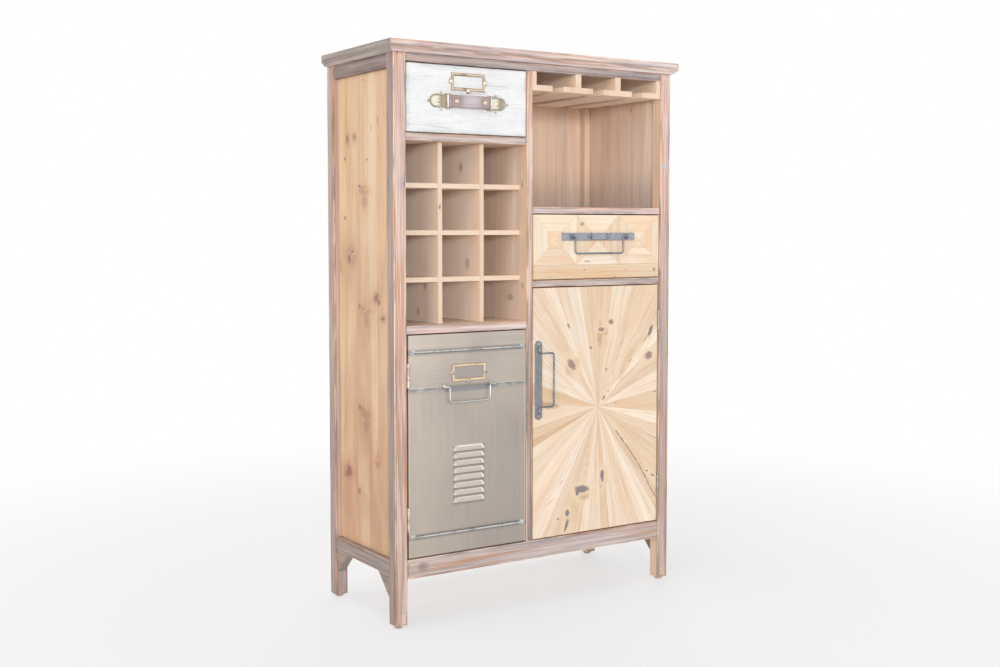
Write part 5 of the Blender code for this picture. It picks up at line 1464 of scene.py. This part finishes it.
def make_stage():
    bm = bmesh.new()
    half = FLOOR_SIZE / 2
    bm.faces.new([bm.verts.new((x, y, 0)) for x, y in rectangle(-half, half, -half, half)])
    mesh = bpy.data.meshes.new("floor")
    bm.to_mesh(mesh)
    bm.free()
    floor = bpy.data.objects.new("floor", mesh)
    bpy.context.scene.collection.objects.link(floor)
    shade = Shade("floor_white")
    away = shade.vector("LENGTH", shade.stretch(shade.coordinate(), (1, 1, 0)))
    shade.shader.inputs["Base Color"].default_value = (0.86, 0.86, 0.86, 1)
    shade.shader.inputs["Roughness"].default_value = 0.9
    shade.shader.inputs["Specular IOR Level"].default_value = 0.0
    glow = shade.add("Emission", ((1, 1, 1, 1), 1.0))
    share = shade.times(shade.seen(), shade.remap(away, FLOOR_NEAR, FLOOR_FAR, 0.62, 1.0))
    shade.show(shade.add("MixShader", (share, shade.shader.outputs[0], glow)), "Material Output")
    mesh.materials.append(shade.material)


def make_world():
    world = bpy.data.worlds.new("studio")
    bpy.context.scene.world = world
    nodes = Nodes(world)
    nodes.tree.nodes.clear()
    nodes.tree.nodes.new("ShaderNodeOutputWorld").name = "World Output"
    sky, backdrop = (nodes.add("Background", ((1, 1, 1, 1), strength)) for strength in (AMBIENT, 1.0))
    nodes.show(nodes.add("MixShader", (nodes.seen(), sky, backdrop)), "World Output")


def make_lamp(name, strength, source, softness):
    data = bpy.data.lights.new(name, "SUN")
    data.energy = strength
    data.angle = math.radians(softness)
    lamp = bpy.data.objects.new(name, data)
    lamp.rotation_euler = Vector(source).to_track_quat("Z", "Y").to_euler()
    bpy.context.scene.collection.objects.link(lamp)


def make_camera():
    data = bpy.data.cameras.new("camera")
    data.sensor_fit = "HORIZONTAL"
    data.sensor_width = 36.0
    data.lens = CAMERA_LENS
    data.shift_y = CAMERA_SHIFT_Y
    camera = bpy.data.objects.new("camera", data)
    camera.location = CAMERA_PLACE
    camera.rotation_euler = [math.radians(angle) for angle in CAMERA_TURN]
    bpy.context.scene.collection.objects.link(camera)
    bpy.context.scene.camera = camera


# Finishes of the CAD nodes that stay

# Each node, the axis of its grain, its seed, how smoky it is (low down, high up, and the heights between),
# how worn its edges are, how lilac it is, and where plain wood starts on it
FLUSH, POST = (-0.1435, None), (-0.1435, 0.3338)
STAINED = (
    ("top_board", "X", 1.0, (0.05, 0.05, 0, 1), 0.9, 0.7, None),
    ("cornice_board", "X", 2.3, (0.0, 0.0, 0, 1), 0.7, 0.6, (-0.1435, 0.33)),
    ("front_post_left", "Z", 3.1, (0.26, 0.02, 0.35, 0.85), 0.9, 0.45, POST),
    ("front_post_right", "Z", 4.7, (0.55, 0.02, 0.40, 0.95), 0.8, 0.5, POST),
    ("rear_post_left", "Z", 5.2, (0.34, 0.12, 0.2, 0.75), 0.5, 0.25, POST),
    ("rear_post_right", "Z", 6.9, (0.25, 0.14, 0.3, 0.9), 0.5, 0.25, POST),
    ("top_rail", "X", 7.7, (0.60, 0.60, 0, 1), 0.4, 1.0, None),
    ("bottom_rail", "X", 8.1, (0.54, 0.54, 0, 1), 0.8, 0.7, None),
    ("centre_partition", "Z", 9.4, (0.80, 0.04, 0.56, 0.70), 0.7, 0.5, FLUSH),
    ("side_top_rail_left", "Y", 10.2, (0.50, 0.50, 0, 1), 0.1, 0.7, None),
    ("side_top_rail_right", "Y", 11.8, (0.50, 0.50, 0, 1), 0.1, 0.7, None),
    ("side_bottom_rail_left", "Y", 12.5, (0.36, 0.36, 0, 1), 0.5, 0.7, None),
    ("side_bottom_rail_right", "Y", 13.6, (0.45, 0.45, 0, 1), 0.5, 0.7, None),
    ("rack_floor", "X", 14.9, (0.08, 0.08, 0, 1), 0.8, 0.6, FLUSH),
    ("top_drawer_deck", "X", 15.3, (0.30, 0.30, 0, 1), 0.8, 0.7, FLUSH),
    ("mid_drawer_deck", "X", 16.4, (0.56, 0.56, 0, 1), 0.8, 0.8, FLUSH),
    ("glass_bay_floor", "X", 17.2, (0.0, 0.0, 0, 1), 0.9, 0.9, FLUSH),
)
STAINED_SPOTS = {
    "bottom_rail": [([(-296, 123, 7.5, 5.5)], rgb(180, 156, 148), 0.7, rgb(150, 138, 136))],
    "front_post_right": [([(348, 965, 5, 4.5)], rgb(214, 214, 222), 0.8, rgb(206, 206, 214))],
}
# Knots on the left faces of the rack's dividers and of the partition: Y, Z, half widths
DIVIDER_KNOTS = {
    "rack_divider_1": [(-124, 845, 5, 6.5), (-60, 700, 7, 8.5), (-30, 645, 5, 8)],
    "rack_divider_2": [(-40, 955, 7, 10), (-66, 748, 9, 12)],
}
PARTITION_KNOTS = [(-80, 672, 11, 6), (-128, 700, 4, 6), (-126, 915, 3, 7)]
# The pale boards of the rack and of the stemware rails, with the axis of their grain
PALE = (
    ("rack_divider_1", "Z"), ("rack_divider_2", "Z"), ("rack_shelf_1", "X"), ("rack_shelf_2", "X"),
    ("rack_shelf_3", "X"), ("stem_rail_left", "Y"), ("stem_rail_middle_1", "Y"), ("stem_rail_middle_2", "Y"),
    ("stem_rail_right", "Y"),
)


def dress_nodes():
    for node, axis, seed, depth, worn, lilac, inner in STAINED:
        rust = 0.4 if axis == "X" and node != "bottom_rail" else 0.5 if node.startswith("rear") else 0.9
        knots = [PARTITION_KNOTS] if node == "centre_partition" else []
        gloss = 0.08 if node == "top_board" else 0.3
        spots = STAINED_SPOTS.get(node, ())
        dress(node, stained(node, axis, seed, depth, worn, lilac, inner, spots, rust, knots, gloss))
    # the pale boards get a painted light gradient by depth: warmer towards the front of the rack
    for index, (node, axis) in enumerate(PALE):
        spots = [(DIVIDER_KNOTS[node], rgb(160, 132, 120), 0.45, 0.5)] if node in DIVIDER_KNOTS else ()
        place = (axis, 21 + index * 1.7)
        dress(node, wood("pale_" + node, RACK, place, 0.006, 0.02, (0.3, 0.005), spots, "X",
                         figured=(0.30, 0.55, 0.05, 0.10), facing=(1, -1, CREAM),
                         spots_on=(0, -1) if spots else None, painted_shade=(1, -0.060, -0.135, rgb(255, 244, 230))))
    dress("bottom_board", wood("inner_bottom", INNER, ("X", 33), 0.008, 0.04, knots=(0.4, 0.005)))
    for index, node in enumerate(("top_drawer_box", "mid_drawer_box")):
        grains = [("X", 35 + index), ("Y", 38 + index)]
        dress(node, wood("box_pine_" + node, PINE, grains, 0.007, 0.04, knots=(0.3, 0.005),
                         figured=(0.30, 0.40, 0.16, 0.25)))
    dress("top_drawer_front", white_paint("worn_white", 3.0))
    black = plastic("black_plastic_grained", rgb(70, 70, 72))
    for name in ("front_left", "front_right", "rear_left", "rear_right"):
        dress("glide_" + name, stained("glide_" + name, "Z", 41.0, (0.0, 0.0, 0, 1), 0.5, 0.2))
    dress("locker_magnetic_catch", black)
    dress("cupboard_magnetic_catch", black)


make_camera()
make_world()
for lamp, (strength, softness, source) in LAMPS.items():
    make_lamp(lamp, strength, source, softness)
make_stage()
dress_nodes()
make_side("left", on_left, 1.0)
make_side("right", on_right, 6.0)
make_back()
make_plank_door()
make_square_front()

STEEL = metal("silver_steel_worn", rgb(214, 213, 210), rgb(168, 168, 170), 0.32, 0.85)
GREY_STEEL = metal("grey_steel", rgb(186, 186, 188), rgb(140, 140, 144), 0.36, 0.7)
IRON = metal("slate_iron", rgb(162, 166, 176), rgb(148, 152, 162), 0.5, 0.3, 700, 120, 0.0001)
BLACK_IRON = metal("black_iron", rgb(140, 141, 144), rgb(130, 131, 135), 0.52, 0.2, 800, 90, 0.0001)
WIRE_IRON = metal("wire_iron", rgb(138, 146, 154), rgb(112, 118, 126), 0.45, 0.5)
BRASS = metal("aged_brass_bright", rgb(244, 224, 198), rgb(184, 158, 138), 0.36, 0.6, low=(0.46, 0.62))
GOLD = metal("gold_brass", rgb(240, 216, 178), rgb(206, 180, 144), 0.34, 0.6)
WARM_GOLD = metal("warm_gold", rgb(255, 234, 198), rgb(226, 198, 160), 0.32, 0.5)
PALE_GOLD = metal("pale_gold", rgb(255, 242, 218), rgb(236, 214, 184), 0.3, 0.5)
PALE_BRASS = metal("pale_brass", rgb(226, 222, 226), rgb(196, 190, 192), 0.36, 0.4)
HINGE = metal("hinge_brass", rgb(180, 172, 156), rgb(150, 142, 126), 0.5, 0.3)
PALE_HINGE = metal("hinge_steel", rgb(216, 210, 200), rgb(176, 168, 156), 0.42, 0.5)
THREAD = metal("waxed_thread", rgb(214, 196, 184), rgb(190, 170, 160), 0.7, 0.0, 2500, 900, 0.00005)

LEATHER = leather("strap_leather", *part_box("leather_strap"))
make_label("drawer_label_holder", "top_drawer", BRASS, PALE_GOLD, "drawer_card_frame")
make_strap(LEATHER, THREAD, GOLD)
for side_name, side, dish in (("left", -1, (-0.2590, -0.2490)), ("right", 1, (-0.1170, -0.1060))):
    olive = metal("aged_brass_" + side_name, rgb(220, 208, 184), rgb(172, 162, 140), 0.4, 0.6,
                  low=(0.44, 0.68), dish=dish)
    make_bracket(side_name, side, (olive, GOLD, PALE_BRASS))
make_drawer_plate(IRON, WIRE_IRON, GREY_STEEL)
make_door_plate(BLACK_IRON, GREY_STEEL)
wire_bail("drawer_bail", WIRE_IRON, "grey_iron")
wire_bail("cupboard_bail", WIRE_IRON, "grey_iron")
wire_bail("locker_bail", STEEL, "silver_steel")
BRUSHED = brushed_sheet("brushed_steel", BAILS["locker_bail"][0][0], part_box("locker_label_holder"))
make_metal_door(BRUSHED, STEEL)
make_label("locker_label_holder", "locker_door", WARM_GOLD, GREY_STEEL, "locker_card_frame")
for door in ("locker", "cupboard"):
    for number in (1, 2):
        make_hinge(door, number, PALE_HINGE if door == "locker" else HINGE)

bpy.context.scene.view_settings.view_transform = "Standard"
